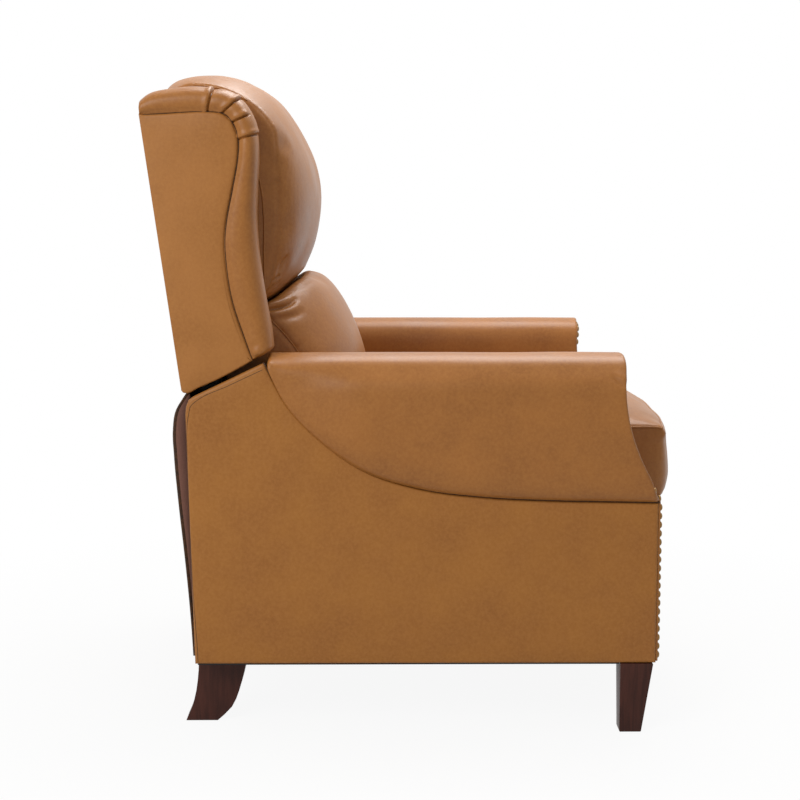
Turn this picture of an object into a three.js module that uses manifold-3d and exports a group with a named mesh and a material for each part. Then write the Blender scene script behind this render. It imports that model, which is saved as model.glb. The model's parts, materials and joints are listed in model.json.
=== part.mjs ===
// Press-back wingback recliner. Millimetres, +Z up, the sitter faces -Y and their left is +X.
// The origin is on the floor, under the middle of the chair's box.
// Side outlines are drawn in (y, z) and extruded along X; the back is drawn in its own leaning frame.

import * as THREE from "three";
import Module from "manifold-3d";
import { mergeVertices } from "three/addons/utils/BufferGeometryUtils.js";

const wasm = await Module();
wasm.setup();

// Fits
const clearance = 0.3;
const pivotPlay = 0.35;
const cutOverrun = 60;
const weldShare = 1e-3;

// Facets
const pinSides = 12;
const arcSteps = 6;
const seamSpans = 14;
const frontEdgeSpans = 7;
const panelEdgeSpans = 3;
const sabreSpans = 8;
const flapSpans = 12;
const rollSteps = 8;

// Base: widths are half widths from the middle plane
const legHeight = 114;
const frameBottom = legHeight + clearance;
const coverHalfWidth = 375;
const coverThickness = 11.7;
const innerHalfWidth = 267;
const sidePanelThickness = 20;
const baseFront = -382;
const baseRear = 358;
const rearLean = 8;
const rearCornerDrop = 92;
const rearShoulderDrop = 17;
const rearShoulderStep = 7;

// Arms
const armOverhang = 18;
const armHalfWidth = coverHalfWidth + armOverhang;
const armHeight = 611;
const armPadDepth = 111;
const armSeat = armHeight - armPadDepth;
const armRear = 240;
const armSeamDrop = 16;
const armSeamRear = armHeight - armSeamDrop;
const armSeamFront = 378;
const armSweep = 63;
const armSweepDrop = 37;
const armSweepTop = armHeight - armSweepDrop;
const armSweepPower = 1.8;
const armFrontTop = baseFront + armSweep;
const rearCornerHeight = armHeight - rearCornerDrop;

// Posts and cross rails of the base
const postDepth = 36;
const postSetback = 5;
const frontPostSetback = 18;
const frontPostShare = 0.1;
const rearPostDrop = 7;
const rearPostSetback = 6;
const stretcherFront = -162;
const stretcherDepth = 28;
const stretcherHeight = 44;
const rearRailDepth = 25;
const rearRailHeight = 76;
const rearRailProud = 3.6;
const dustCoverThickness = 1.5;
const dustCoverFront = -300;
const dustCoverMargin = 4;
const legNotchMargin = 1.5;

// Legs
const frontLegTop = 53;
const frontLegFoot = 35;
const frontLegRear = -325;
const rearLegInner = 266;
const rearLegWidth = 44;
const rearLegHeelY = 329;
const rearLegSplay = 84;
const rearLegTopDepth = 80;
const rearLegTopShare = 0.375;
const rearLegFoot = 52;

// Arm front panels and their nail trim
const frontPanelThickness = 4;
const frontPanelInset = 3;
const nailStripWidth = 11;
const nailStripThickness = 1.2;
const nailRadius = 5.6;
const nailTopShare = 0.5;
const nailHeight = 2.2;
const nailPitch = 13.9;
const nailSides = 6;
const nailEdge = 4;
const nailTrimBottom = 126;

// Lower back flap
const flapHalfWidth = 350;
const flapThickness = 2.6;
const flapTopDrop = 3.6;
const flapBottom = 122;
const flapBulge = 27;

// Seat
const seatTrackHeight = 341;
const seatTrackThickness = 4.7;
const seatTrackFlange = 30;
const seatTrackWebHeight = 40;
const seatTrackFront = -290;
const seatTrackRear = 110;
const seatRailInset = 45;
const seatRailInner = innerHalfWidth - seatRailInset;
const seatRailWidth = 34;
const seatRailHeight = 40;
const seatFront = -330;
const seatRear = 170;
const seatCrossDepth = 38;
const seatFrontRailHeight = 25;
const seatRailBottom = seatTrackHeight + seatTrackThickness + clearance;
const seatRailTop = seatRailBottom + seatRailHeight;
const springWire = 3.8;
const springWidth = 44;
const springBend = 34;
const springCount = 4;
const springBends = 12;
const springMargin = 44;
const springSpacing = (2 * (seatRailInner - springMargin) - springWidth) / (springCount - 1);
const springTieShares = [1 / 3, 2 / 3];
const cushionPlay = 5;
const cushionHalfWidth = innerHalfWidth - cushionPlay;
const cushionFront = -434.5;
const cushionRear = 200;
const cushionBow = 22;
const cushionHeight = 132;
const cushionCrownShare = 0.5;
const lipDrop = 32.6;
const lipShare = 0.138;

// Back: its frame leans, with its foot at the wing's lower rear corner
const wingFootRear = 369;
const wingFootDrop = 60;
const wingFootHeight = armHeight - wingFootDrop;
const backLean = THREE.MathUtils.degToRad(8.57);
const outsideThickness = 9.7;
const wingHalfWidth = 368;
const wingStepOut = 11;
const wingInner = innerHalfWidth + wingStepOut;
const wingThickness = wingHalfWidth - wingInner;
const wingDepth = 148;
const wingHeight = 438;
const wingRollDepth = 50;
const wingRollCrest = 12;
const rollFullness = 0.8;
const wingFootShares = [0.149, 0.02];
const wingFootSlope = 5;
const uprightWidth = 40;
const uprightDepth = 40;
const uprightBottom = -70;
const uprightTopDrop = 8;
const uprightTop = wingHeight - uprightTopDrop;
const backRailHeight = 56;
const backRailDepth = 24;
const bottomRailFoot = -40;
const headPlay = 8;
const headHalfWidth = wingInner - headPlay;
const headBottom = 101;
const headRise = 73.7;
const headHeight = uprightTop + clearance + headRise - headBottom;
const headReach = 246;
const lumbarPlay = 6;
const lumbarHalfWidth = innerHalfWidth - lumbarPlay;
const lumbarReach = 287;
const lumbarTop = 151;
const lumbarSeatRise = 69;
const lumbarBottom = seatRailTop + lumbarSeatRise - wingFootHeight;
const lumbarHeight = lumbarTop - lumbarBottom;

// Back hinge and the links that push the seat forward
const hingeY = 245;
const hingeDrop = 156;
const hingeZ = wingFootHeight - hingeDrop;
const hingePinRadius = 8;
const hingePinLength = 15;
const bracketThickness = 4;
const bracketArmDrop = 16;
const bracketHalfWidth = 15;
const seatLinkHalfWidth = 13;
const seatLinkPinY = 150;
const seatLinkPinDrop = 20;
const seatLinkPinZ = seatRailTop - seatLinkPinDrop;
const seatLinkPlay = 3.2;

// Footrest linkage: reach is measured forward, each angle is above the horizontal
const plateThickness = 4;
const linkGap = 1;
const linkHalfWidth = 11;
const linkPinRadius = 4;
const frontPivotReach = 269;
const frontPivotHeight = 346;
const rearPivotHeight = 323;
const frontLinkLength = 153;
const frontLinkTail = 39;
const crossLinkLength = 137;
const crossLinkTail = 42;
const footPivotReach = 320;
const footPivotSpacing = 40;
const frontLinkFolded = THREE.MathUtils.degToRad(-108);
const frontLinkOpen = THREE.MathUtils.degToRad(-13.5);
const crossLinkOpen = THREE.MathUtils.degToRad(38);
const crossPlay = 2.6;
const outerPlay = 3.7;
const plateFront = -290;
const plateRear = -150;
const plateTopInset = 2;

// Footrest
const footrestPlay = 12;
const footrestHalfWidth = innerHalfWidth - footrestPlay;
const footrestRear = -337;
const footrestBoardThickness = 15;
const footrestPadThickness = 40;
const footrestBottom = 128;
const footrestTop = 350;
const footrestBoardInset = 8;
const footBracketMargin = 15;
const footFlangeThickness = 3;
const footFlangeWidth = 24;

// Finishes
const leather = { color: 0x9c693a, roughness: 0.52, metalness: 0 };
const leatherShade = { color: 0x8f5e32, roughness: 0.55, metalness: 0 };
const wood = { color: 0xb08a5b, roughness: 0.7, metalness: 0 };
const stainedWood = { color: 0x432f2a, roughness: 0.4, metalness: 0 };
const steel = { color: 0x3c3f42, roughness: 0.42, metalness: 0.9 };
const brass = { color: 0x8a6a3e, roughness: 0.35, metalness: 0.9 };
const blackCloth = { color: 0x232324, roughness: 0.95, metalness: 0 };

const chair = new THREE.Group();

function addPart(name, geometry, finish, parent = chair) {
  const mesh = new THREE.Mesh(geometry, new THREE.MeshStandardMaterial(finish));
  mesh.name = name;
  parent.add(mesh);
}

// The +X copy is the sitter's left.
function addPair(name, geometry, finish, parent = chair) {
  addPart(`${name}_left`, geometry, finish, parent);
  addPart(`${name}_right`, mirrored(geometry), finish, parent);
}

function bare(geometry) {
  const plain = geometry.clone();
  for (const key of Object.keys(plain.attributes)) {
    if (key !== "position") plain.deleteAttribute(key);
  }
  return mergeVertices(plain, clearance * weldShare);
}

function flipped(geometry) {
  const order = geometry.index.array;
  for (let i = 0; i < order.length; i += 3) {
    [order[i + 1], order[i + 2]] = [order[i + 2], order[i + 1]];
  }
  return geometry;
}

function mirrored(geometry) {
  const copy = bare(geometry);
  copy.scale(-1, 1, 1);
  return flipped(copy);
}

function toSolid(geometry) {
  const merged = bare(geometry);
  return new wasm.Manifold(
    new wasm.Mesh({
      numProp: 3,
      vertProperties: new Float32Array(merged.attributes.position.array),
      triVerts: new Uint32Array(merged.index.array),
    }),
  );
}

function toGeometry(solid) {
  const mesh = solid.getMesh();
  const geometry = new THREE.BufferGeometry();
  geometry.setAttribute("position", new THREE.BufferAttribute(mesh.vertProperties, mesh.numProp));
  geometry.setIndex(new THREE.BufferAttribute(mesh.triVerts, 1));
  return geometry;
}

function join(...geometries) {
  return toGeometry(geometries.map(toSolid).reduce((all, one) => all.add(one)));
}

function cut(geometry, ...tools) {
  return toGeometry(tools.map(toSolid).reduce((rest, tool) => rest.subtract(tool), toSolid(geometry)));
}

function common(a, b) {
  return toGeometry(toSolid(a).intersect(toSolid(b)));
}

function block(x0, x1, y0, y1, z0, z1) {
  const geometry = new THREE.BoxGeometry(x1 - x0, y1 - y0, z1 - z0);
  geometry.translate((x0 + x1) / 2, (y0 + y1) / 2, (z0 + z1) / 2);
  return geometry;
}

// An outline of [y, z] points extruded from x0 to x1.
function slab(outline, x0, x1) {
  const shape = new THREE.Shape(outline.map(([y, z]) => new THREE.Vector2(y, z)));
  return extruded(shape, x0, x1);
}

function extruded(shape, x0, x1) {
  const options = { depth: x1 - x0, bevelEnabled: false, curveSegments: arcSteps };
  const geometry = new THREE.ExtrudeGeometry(shape, options);
  geometry.applyMatrix4(new THREE.Matrix4().set(0, 0, 1, x0, 1, 0, 0, 0, 0, 1, 0, 0, 0, 0, 0, 1));
  return geometry;
}

// A round pin along X.
function pin([y, z], x0, x1, radius) {
  const geometry = new THREE.CylinderGeometry(radius, radius, x1 - x0, pinSides);
  geometry.rotateZ(Math.PI / 2);
  geometry.translate((x0 + x1) / 2, y, z);
  return geometry;
}

// A hole whose flats clear a pin of this radius by the play.
function bore(centre, x0, x1, radius, play) {
  return pin(centre, x0 - cutOverrun, x1 + cutOverrun, (radius + play) / Math.cos(Math.PI / pinSides));
}

// A flat bar with round ends from one [y, z] point to another.
function bar(from, to, x0, x1, halfWidth) {
  const angle = Math.atan2(to[1] - from[1], to[0] - from[0]);
  const shape = new THREE.Shape();
  shape.absarc(to[0], to[1], halfWidth, angle - Math.PI / 2, angle + Math.PI / 2);
  shape.absarc(from[0], from[1], halfWidth, angle + Math.PI / 2, angle + (3 * Math.PI) / 2);
  shape.closePath();
  return extruded(shape, x0, x1);
}

// A closed skin over rings of equal length, with flat ends.
function loft(rings) {
  const count = rings[0].length;
  const positions = rings.flat().flatMap((p) => [p.x, p.y, p.z]);
  const order = [];
  for (let r = 0; r + 1 < rings.length; r++) {
    for (let i = 0; i < count; i++) {
      const a = r * count + i;
      const b = r * count + ((i + 1) % count);
      order.push(a, b, a + count, b, b + count, a + count);
    }
  }
  const endCap = (ring, first, turned) => {
    const normal = new THREE.Vector3();
    ring.forEach((p, i) => {
      const q = ring[(i + 1) % count];
      normal.x += (p.y - q.y) * (p.z + q.z);
      normal.y += (p.z - q.z) * (p.x + q.x);
      normal.z += (p.x - q.x) * (p.y + q.y);
    });
    const size = [Math.abs(normal.x), Math.abs(normal.y), Math.abs(normal.z)];
    const drop = size.indexOf(Math.max(...size));
    const flat = ring.map((p) => {
      if (drop === 0) return new THREE.Vector2(p.y, p.z);
      if (drop === 1) return new THREE.Vector2(p.z, p.x);
      return new THREE.Vector2(p.x, p.y);
    });
    const sameWay = normal.getComponent(drop) > 0;
    for (const [i, j, k] of THREE.ShapeUtils.triangulateShape(flat, [])) {
      const area = flat[j].clone().sub(flat[i]).cross(flat[k].clone().sub(flat[i]));
      const along = area > 0 === sameWay;
      const face = along === turned ? [i, k, j] : [i, j, k];
      order.push(...face.map((v) => first + v));
    }
  };
  endCap(rings[0], 0, true);
  endCap(rings.at(-1), (rings.length - 1) * count, false);
  const geometry = new THREE.BufferGeometry();
  geometry.setAttribute("position", new THREE.Float32BufferAttribute(positions, 3));
  geometry.setIndex(order);
  return enclosedVolume(geometry) < 0 ? flipped(geometry) : geometry;
}

function enclosedVolume(geometry) {
  const at = geometry.attributes.position;
  const order = geometry.index.array;
  const [a, b, c] = [new THREE.Vector3(), new THREE.Vector3(), new THREE.Vector3()];
  let volume = 0;
  for (let i = 0; i < order.length; i += 3) {
    a.fromBufferAttribute(at, order[i]);
    b.fromBufferAttribute(at, order[i + 1]);
    c.fromBufferAttribute(at, order[i + 2]);
    volume += a.dot(b.cross(c)) / 6;
  }
  return volume;
}

// A table of [a, b] shares read as points from an origin, each size scaling its own column.
function placed(shares, originA, sizeA, originB, sizeB) {
  return shares.map(([a, b]) => [originA + a * sizeA, originB + b * sizeB]);
}

// A smooth run of `count` spans through a few points.
function smooth(points, count) {
  const curve = new THREE.SplineCurve(points.map(([a, b]) => new THREE.Vector2(a, b)));
  return curve.getPoints(count).map((p) => [p.x, p.y]);
}

// Base

const baseDepth = baseRear - baseFront;

// The seam between an arm and its side cover, from the arm's rear end down and forward.
const armSeamShares = [
  [0.815, 1],
  [0.785, 0.75],
  [0.7, 0.43],
  [0.6, 0.2],
  [0.5, 0.09],
  [0.37, 0.035],
  [0.2, 0.01],
  [0, 0],
];
const armSeam = placed(armSeamShares, baseFront, baseDepth, armSeamFront, armSeamRear - armSeamFront);
const armSeamLine = smooth(armSeam, seamSpans);

// The front edge of an arm: plumb below the seam, swept back above it.
function armFrontAt(z) {
  const rise = THREE.MathUtils.clamp((z - armSeamFront) / (armSweepTop - armSeamFront), 0, 1);
  return baseFront + armSweep * (1 - (1 - rise) ** armSweepPower);
}

function frontEdge(z0, z1, steps, offset) {
  const points = [];
  for (let i = 0; i <= steps; i++) {
    const z = THREE.MathUtils.lerp(z0, z1, i / steps);
    points.push([armFrontAt(z) + offset, z]);
  }
  return points;
}

const rearShoulder = [baseRear + rearLean - rearShoulderStep, rearCornerHeight + rearShoulderDrop];
const rearCorner = [baseRear + rearLean, rearCornerHeight];

function makeSideCovers() {
  const outline = [
    [baseFront, frameBottom],
    [baseRear, frameBottom],
    rearCorner,
    rearShoulder,
    [armRear, armSeamRear],
    ...armSeamLine.slice(1).map(([y, z]) => [y, z - clearance]),
  ];
  addPair("side_cover", slab(outline, coverHalfWidth - coverThickness, coverHalfWidth), leatherShade);
}

function makeSidePanels() {
  const edge = frontEdge(armSeamFront, armSeat - clearance, panelEdgeSpans, postSetback);
  const outline = [
    [baseFront + postSetback, frameBottom],
    [baseRear - postSetback, frameBottom],
    [rearCorner[0] - postSetback, rearCorner[1]],
    [rearShoulder[0] - postSetback, rearShoulder[1] - postSetback],
    [armRear, armSeamRear - postSetback],
    [armRear, armSeat - clearance],
    ...edge.reverse(),
  ];
  const panel = slab(outline, innerHalfWidth, innerHalfWidth + sidePanelThickness);
  const hole = bore([hingeY, hingeZ], innerHalfWidth, innerHalfWidth, hingePinRadius, pivotPlay);
  addPair("inner_side_panel", cut(panel, hole), wood);
}

const postInner = innerHalfWidth + sidePanelThickness + clearance;
const postOuter = coverHalfWidth - coverThickness - clearance;

function makePosts() {
  const frontY = baseFront + frontPostSetback;
  const rearY = baseRear - rearPostSetback;
  const post = (y, height) =>
    block(postInner, postOuter, y, y + postDepth, frameBottom, frameBottom + height);
  const frontTop = THREE.MathUtils.lerp(armSeamFront, armSeat, frontPostShare);
  addPair("front_post", post(frontY, frontTop - frameBottom), wood);
  addPair("rear_post", post(rearY - postDepth, rearCornerHeight - rearPostDrop - frameBottom), wood);
}

function makeCrossRails() {
  const half = innerHalfWidth - clearance;
  const stretcher = block(
    -half, half, stretcherFront, stretcherFront + stretcherDepth, frameBottom, frameBottom + stretcherHeight,
  );
  addPart("front_stretcher", stretcher, wood);
  const railRear = baseRear + rearRailProud;
  const railFront = railRear - rearRailDepth;
  const rail = block(-half, half, railFront, railRear, frameBottom, frameBottom + rearRailHeight);
  addPart("rear_rail", rail, wood);
}

// The cloth under the base, open ahead of the footrest linkage and cut out round the legs.
function makeDustCover() {
  const half = coverHalfWidth - dustCoverMargin;
  const front = baseFront + dustCoverMargin;
  const rear = baseRear - dustCoverMargin;
  const top = frameBottom - clearance;
  const bottom = top - dustCoverThickness;
  const sheet = block(-half, half, front, rear, bottom, top);
  const through = [bottom - cutOverrun, top + cutOverrun];
  const mouth = block(-innerHalfWidth, innerHalfWidth, front - cutOverrun, dustCoverFront, ...through);
  const notches = [-1, 1].flatMap((side) => {
    const spanX = (inner, outer) => (side > 0 ? [inner, outer] : [-outer, -inner]);
    const frontX = spanX(coverHalfWidth - frontLegTop - legNotchMargin, coverHalfWidth + cutOverrun);
    const rearX = spanX(rearLegInner - legNotchMargin, rearLegInner + rearLegWidth + legNotchMargin);
    const heel = rearLegHeelY - rearLegTopDepth * (1 - rearLegTopShare) - legNotchMargin;
    return [
      block(...frontX, front - cutOverrun, frontLegRear + legNotchMargin, ...through),
      block(...rearX, heel, rear + cutOverrun, ...through),
    ];
  });
  addPart("dust_cover", cut(sheet, mouth, ...notches), blackCloth);
}

// Arm cross-sections: x and z shares from the inner face out, above the seat of the arm and above its seam.
const armInnerShares = [
  [0, 0],
  [0, 0.5],
  [0.04, 0.78],
  [0.15, 0.93],
  [0.32, 0.99],
];
const armOuterShares = [
  [0.5, 1],
  [0.68, 0.955],
  [0.84, 0.87],
  [0.95, 0.75],
  [1, 0.6],
  [1, 0.4],
  [0.985, 0.2],
  [0.95, 0.07],
  [0.87, 0],
];

function armRing(y, seamHeight) {
  const width = armHalfWidth - innerHalfWidth;
  const skirt = coverHalfWidth - coverThickness;
  const inner = placed(armInnerShares, innerHalfWidth, width, armSeat, armHeight - armSeat);
  const outer = placed(armOuterShares, innerHalfWidth, width, seamHeight, armHeight - seamHeight);
  const points = [...inner, ...outer, [skirt, seamHeight], [skirt, armSeat]];
  return points.map(([x, z]) => new THREE.Vector3(x, y, z));
}

function armSolid() {
  const line = [...armSeamLine];
  line[0] = [armRear, armSeamRear];
  line.push([baseFront - cutOverrun, armSeamFront - clearance]);
  return loft(line.map(([y, z]) => armRing(y, z + clearance)));
}

// Everything behind the swept front edge, moved by an offset along Y.
function behindFront(offset, x0, x1) {
  const edge = frontEdge(armSeamFront, armSweepTop, frontEdgeSpans, offset);
  const outline = [
    [baseFront + offset, 0],
    [armRear + cutOverrun, 0],
    [armRear + cutOverrun, armHeight + cutOverrun],
    [armFrontTop + offset, armHeight + cutOverrun],
    ...edge.reverse(),
  ];
  return slab(outline, x0, x1);
}

function makeArmPads() {
  const shaped = common(armSolid(), behindFront(0, innerHalfWidth - cutOverrun, armHalfWidth + cutOverrun));
  addPair("arm_pad", shaped, leather);
}

// The front panel's outline in (x, z): the arm's section at its front, down to the frame's bottom.
function frontPanelOutline(inset) {
  const ring = armRing(0, armSeamFront).slice(1, armInnerShares.length + armOuterShares.length);
  const centreX = (innerHalfWidth + armHalfWidth) / 2;
  const width = (armHalfWidth - innerHalfWidth) / 2;
  const squeeze = (width - inset) / width;
  const arc = ring.map((p) => [centreX + (p.x - centreX) * squeeze, p.z - inset]);
  return [
    [innerHalfWidth + inset, frameBottom + inset],
    ...arc,
    [coverHalfWidth - inset, armSeamFront - inset],
    [coverHalfWidth - inset, frameBottom + inset],
  ];
}

// A shape drawn in (x, z), extruded along Y through the arm's front.
function frontPrism(outline) {
  const shape = new THREE.Shape(outline.map(([x, z]) => new THREE.Vector2(x, z)));
  const depth = 2 * cutOverrun + armSweep;
  const geometry = new THREE.ExtrudeGeometry(shape, { depth, bevelEnabled: false });
  geometry.rotateX(Math.PI / 2);
  geometry.translate(0, armFrontTop + cutOverrun, 0);
  return geometry;
}

// The part of a prism between two copies of the swept front edge.
function frontSkin(outline, nearOffset, thickness) {
  const x0 = innerHalfWidth - cutOverrun;
  const x1 = armHalfWidth + cutOverrun;
  const body = common(frontPrism(outline), behindFront(nearOffset - thickness, x0, x1));
  return cut(body, behindFront(nearOffset, x0, x1));
}

function nailPath() {
  const outline = frontPanelOutline(frontPanelInset + nailEdge + nailRadius);
  const outer = outline.slice(2);
  outer[outer.length - 1][1] = nailTrimBottom;
  return outer.reverse();
}

function bandAround(path, halfWidth) {
  const side = (sign) =>
    path.map(([x, z], i) => {
      const before = path[Math.max(i - 1, 0)];
      const after = path[Math.min(i + 1, path.length - 1)];
      const length = Math.hypot(after[0] - before[0], after[1] - before[1]);
      const across = [-(after[1] - before[1]) / length, (after[0] - before[0]) / length];
      return [x + sign * halfWidth * across[0], z + sign * halfWidth * across[1]];
    });
  return [...side(1), ...side(-1).reverse()];
}

function nailHead(x, z, y) {
  const geometry = new THREE.CylinderGeometry(nailRadius * nailTopShare, nailRadius, nailHeight, nailSides);
  geometry.rotateX(Math.PI / 2);
  geometry.translate(x, y - nailHeight / 2, z);
  return geometry;
}

function makeArmFronts() {
  const panel = frontSkin(frontPanelOutline(frontPanelInset), -clearance, frontPanelThickness);
  addPair("arm_front_panel", panel, leather);
  const path = nailPath();
  const face = -frontPanelThickness - 2 * clearance;
  const strip = frontSkin(bandAround(path, nailStripWidth / 2), face, nailStripThickness);
  const curve = new THREE.CurvePath();
  path.slice(1).forEach((p, i) => {
    curve.add(new THREE.LineCurve(new THREE.Vector2(...path[i]), new THREE.Vector2(...p)));
  });
  const count = Math.floor((curve.getLength() - nailStripWidth) / nailPitch);
  const nails = [];
  for (let i = 0; i <= count; i++) {
    const at = curve.getPointAt((nailStripWidth / 2 + i * nailPitch) / curve.getLength());
    nails.push(nailHead(at.x, at.y, armFrontAt(at.y) + face - nailStripThickness / 2));
  }
  const panelSide = behindFront(face, innerHalfWidth - cutOverrun, armHalfWidth + cutOverrun);
  addPair("nail_trim", cut(join(strip, ...nails), panelSide), brass);
}

// The sabre leg's front and rear edges: y shares of its splay, z shares of its height.
const sabreFrontShares = [
  [0, 1],
  [0.06, 0.75],
  [0.17, 0.45],
  [0.32, 0.2],
  [0.6, 0],
];
const sabreRearShares = [
  [0, 1],
  [0.01, 0.75],
  [0.06, 0.45],
  [0.15, 0.2],
  [0.27, 0],
];

function makeLegs() {
  const top = [coverHalfWidth - frontLegTop, coverHalfWidth, frontLegRear - frontLegTop, frontLegRear];
  const foot = [coverHalfWidth - frontLegFoot, coverHalfWidth, frontLegRear - frontLegFoot, frontLegRear];
  const ring = ([x0, x1, y0, y1], z) => [
    new THREE.Vector3(x0, y0, z),
    new THREE.Vector3(x1, y0, z),
    new THREE.Vector3(x1, y1, z),
    new THREE.Vector3(x0, y1, z),
  ];
  addPair("front_leg", loft([ring(foot, 0), ring(top, legHeight)]), stainedWood);
  const topFront = rearLegHeelY - rearLegTopDepth * (1 - rearLegTopShare);
  const edge = (shares, y) => smooth(placed(shares, y, rearLegSplay, 0, legHeight), sabreSpans);
  const front = edge(sabreFrontShares, topFront);
  const rear = edge(sabreRearShares, topFront + rearLegTopDepth);
  rear.at(-1)[0] = front.at(-1)[0] + rearLegFoot;
  const leg = slab([...front, ...rear.reverse()], rearLegInner, rearLegInner + rearLegWidth);
  addPair("rear_leg", leg, stainedWood);
}

// The flap: bulge shares along its height, from its lower to its upper edge.
const flapShares = [
  [0, 0],
  [0.1, 0.16],
  [0.36, 0.36],
  [0.62, 0.72],
  [0.8, 0.98],
  [0.9, 0.9],
  [0.97, 0.45],
  [1, 0.08],
];

function makeFlap() {
  const top = wingFootHeight - flapTopDrop;
  const foot = baseRear + rearRailProud + clearance + flapThickness;
  const centre = placed(
    flapShares.map(([height, bulge]) => [bulge, height]), foot, flapBulge, flapBottom, top - flapBottom,
  );
  const outer = smooth(centre, flapSpans);
  const inner = outer.map(([y, z]) => [y - flapThickness, z]);
  const sheet = slab([...inner, ...outer.reverse()], -flapHalfWidth, flapHalfWidth);
  addPart("lower_back_flap", sheet, leatherShade);
}

// Seat

function makeSeatTracks() {
  const x1 = innerHalfWidth - clearance;
  const x0 = x1 - seatTrackThickness;
  const top = seatTrackHeight + seatTrackThickness;
  const web = block(x0, x1, seatTrackFront, seatTrackRear, top - seatTrackWebHeight, top);
  const flange = block(x1 - seatTrackFlange, x1, seatTrackFront, seatTrackRear, seatTrackHeight, top);
  addPair("seat_track", join(web, flange), steel);
}

const seatRailOuter = seatRailInner + seatRailWidth;
const mechanismOuter = seatRailInner - clearance;

function makeSeatFrame() {
  const rail = block(seatRailInner, seatRailOuter, seatFront, seatRear, seatRailBottom, seatRailTop);
  const pinInner = seatRailOuter - plateThickness;
  const linkPin = pin([seatLinkPinY, seatLinkPinZ], pinInner, seatLinkOuter, linkPinRadius);
  addPair("seat_side_rail", join(rail, linkPin), wood);
  const half = mechanismOuter;
  const front = block(
    -half, half, seatFront, seatFront + seatCrossDepth, seatRailTop - seatFrontRailHeight, seatRailTop,
  );
  const rear = block(-half, half, seatRear - seatCrossDepth, seatRear, seatRailBottom, seatRailTop);
  addPart("seat_front_rail", front, wood);
  addPart("seat_rear_rail", rear, wood);
}

// Serpentine springs between the front and rear rails, tied across by two bars.
function makeSprings() {
  const z0 = seatRailTop + clearance;
  const z1 = z0 + springWire;
  const y0 = seatFront;
  const y1 = seatRear;
  const wire = springWire / 2;
  const step = (y1 - y0) / springBends;
  const pieces = [];
  for (let s = 0; s < springCount; s++) {
    const x = (s - (springCount - 1) / 2) * springSpacing;
    for (let i = 0; i <= springBends; i++) {
      const y = y0 + i * step;
      const side = i % 2 === 0 ? -1 : 1;
      const runX = x + (side * springBend) / 2;
      pieces.push(block(x - springWidth / 2, x + springWidth / 2, y - wire, y + wire, z0, z1));
      if (i < springBends) pieces.push(block(runX - wire, runX + wire, y, y + step, z0, z1));
    }
  }
  const half = ((springCount - 1) / 2) * springSpacing + springWidth / 2;
  for (const share of springTieShares) {
    const y = THREE.MathUtils.lerp(y0, y1, share);
    pieces.push(block(-half, half, y - wire, y + wire, z0, z1));
  }
  const springs = join(...pieces);
  springs.translate(0, wire, 0);
  addPart("seat_springs", springs, steel);
}

// The seat cushion's side outline at its middle: y shares of its depth from front to rear,
// z shares of its height above its underside, or of its lip's drop where they are below 0.
const cushionShares = [
  [1, 0.04],
  [0.6, 0],
  [0.15, 0],
  [lipShare, -0.83],
  [0.06, -1],
  [0.012, -0.33],
  [0, 0.25],
  [0.01, 0.52],
  [0.033, 0.7],
  [0.08, 0.86],
  [0.17, 0.97],
  [0.3, 1],
  [0.5, 0.96],
  [0.7, 0.88],
  [0.85, 0.78],
  [0.95, 0.68],
  [0.99, 0.52],
  [1, 0.28],
];

// Ring shares along the half width: how far the crown sinks, the depth draws in, the whole ring
// lifts, and how much of the lip is left there.
const cushionRingShares = [
  { at: 0, sink: 0, draw: 0, lift: 0, lip: 1 },
  { at: 0.45, sink: 0.03, draw: 0, lift: 0, lip: 1 },
  { at: 0.75, sink: 0.08, draw: 0, lift: 0, lip: 1 },
  { at: 0.92, sink: 0.16, draw: 0.005, lift: 0.006, lip: 0.97 },
  { at: 0.985, sink: 0.22, draw: 0.015, lift: 0.018, lip: 0.91 },
  { at: 1, sink: 0.28, draw: 0.045, lift: 0.054, lip: 0.73 },
];

function bothSides(rings) {
  const outer = rings.slice(1).map((r) => ({ ...r, at: -r.at }));
  return [...outer.reverse(), ...rings];
}

function makeSeatCushion() {
  const depth = cushionRear - cushionFront;
  const bottom = seatRailTop + springWire + 2 * clearance;
  const rings = bothSides(cushionRingShares).map(({ at, sink, draw, lift, lip }) =>
    cushionShares.map(([s, t]) => {
      const bow = cushionBow * at * at * Math.max(1 - s / lipShare, 0);
      const pull = draw * depth;
      const y = THREE.MathUtils.lerp(cushionFront + bow + pull, cushionRear - pull, s);
      const crown = Math.max(t - cushionCrownShare, 0) / (1 - cushionCrownShare);
      const above = (Math.max(t, 0) * (1 - sink * crown) + lift) * cushionHeight;
      const below = Math.max(-t, 0) * lip * lipDrop;
      return new THREE.Vector3(at * cushionHalfWidth, y, bottom + above - below);
    }),
  );
  addPart("seat_cushion", loft(rings), leather);
}

// Back. Its group's -Y is forward from the outside back and its +Z runs up the wing's rear edge.

const back = new THREE.Group();
back.position.set(0, wingFootRear, wingFootHeight);
back.rotation.x = -backLean;
chair.add(back);

// The wing's outer seam, from its rear top corner forward and down: shares of its depth and height.
const wingSeamShares = [
  [0.07, 1],
  [0.4, 0.99],
  [0.73, 0.973],
  [0.92, 0.94],
  [1, 0.885],
  [0.975, 0.808],
  [0.86, 0.694],
  [0.745, 0.587],
  [0.685, 0.49],
  [0.665, 0.38],
  [0.675, 0.274],
  [0.723, 0.18],
  [0.777, 0.1],
];

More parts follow.
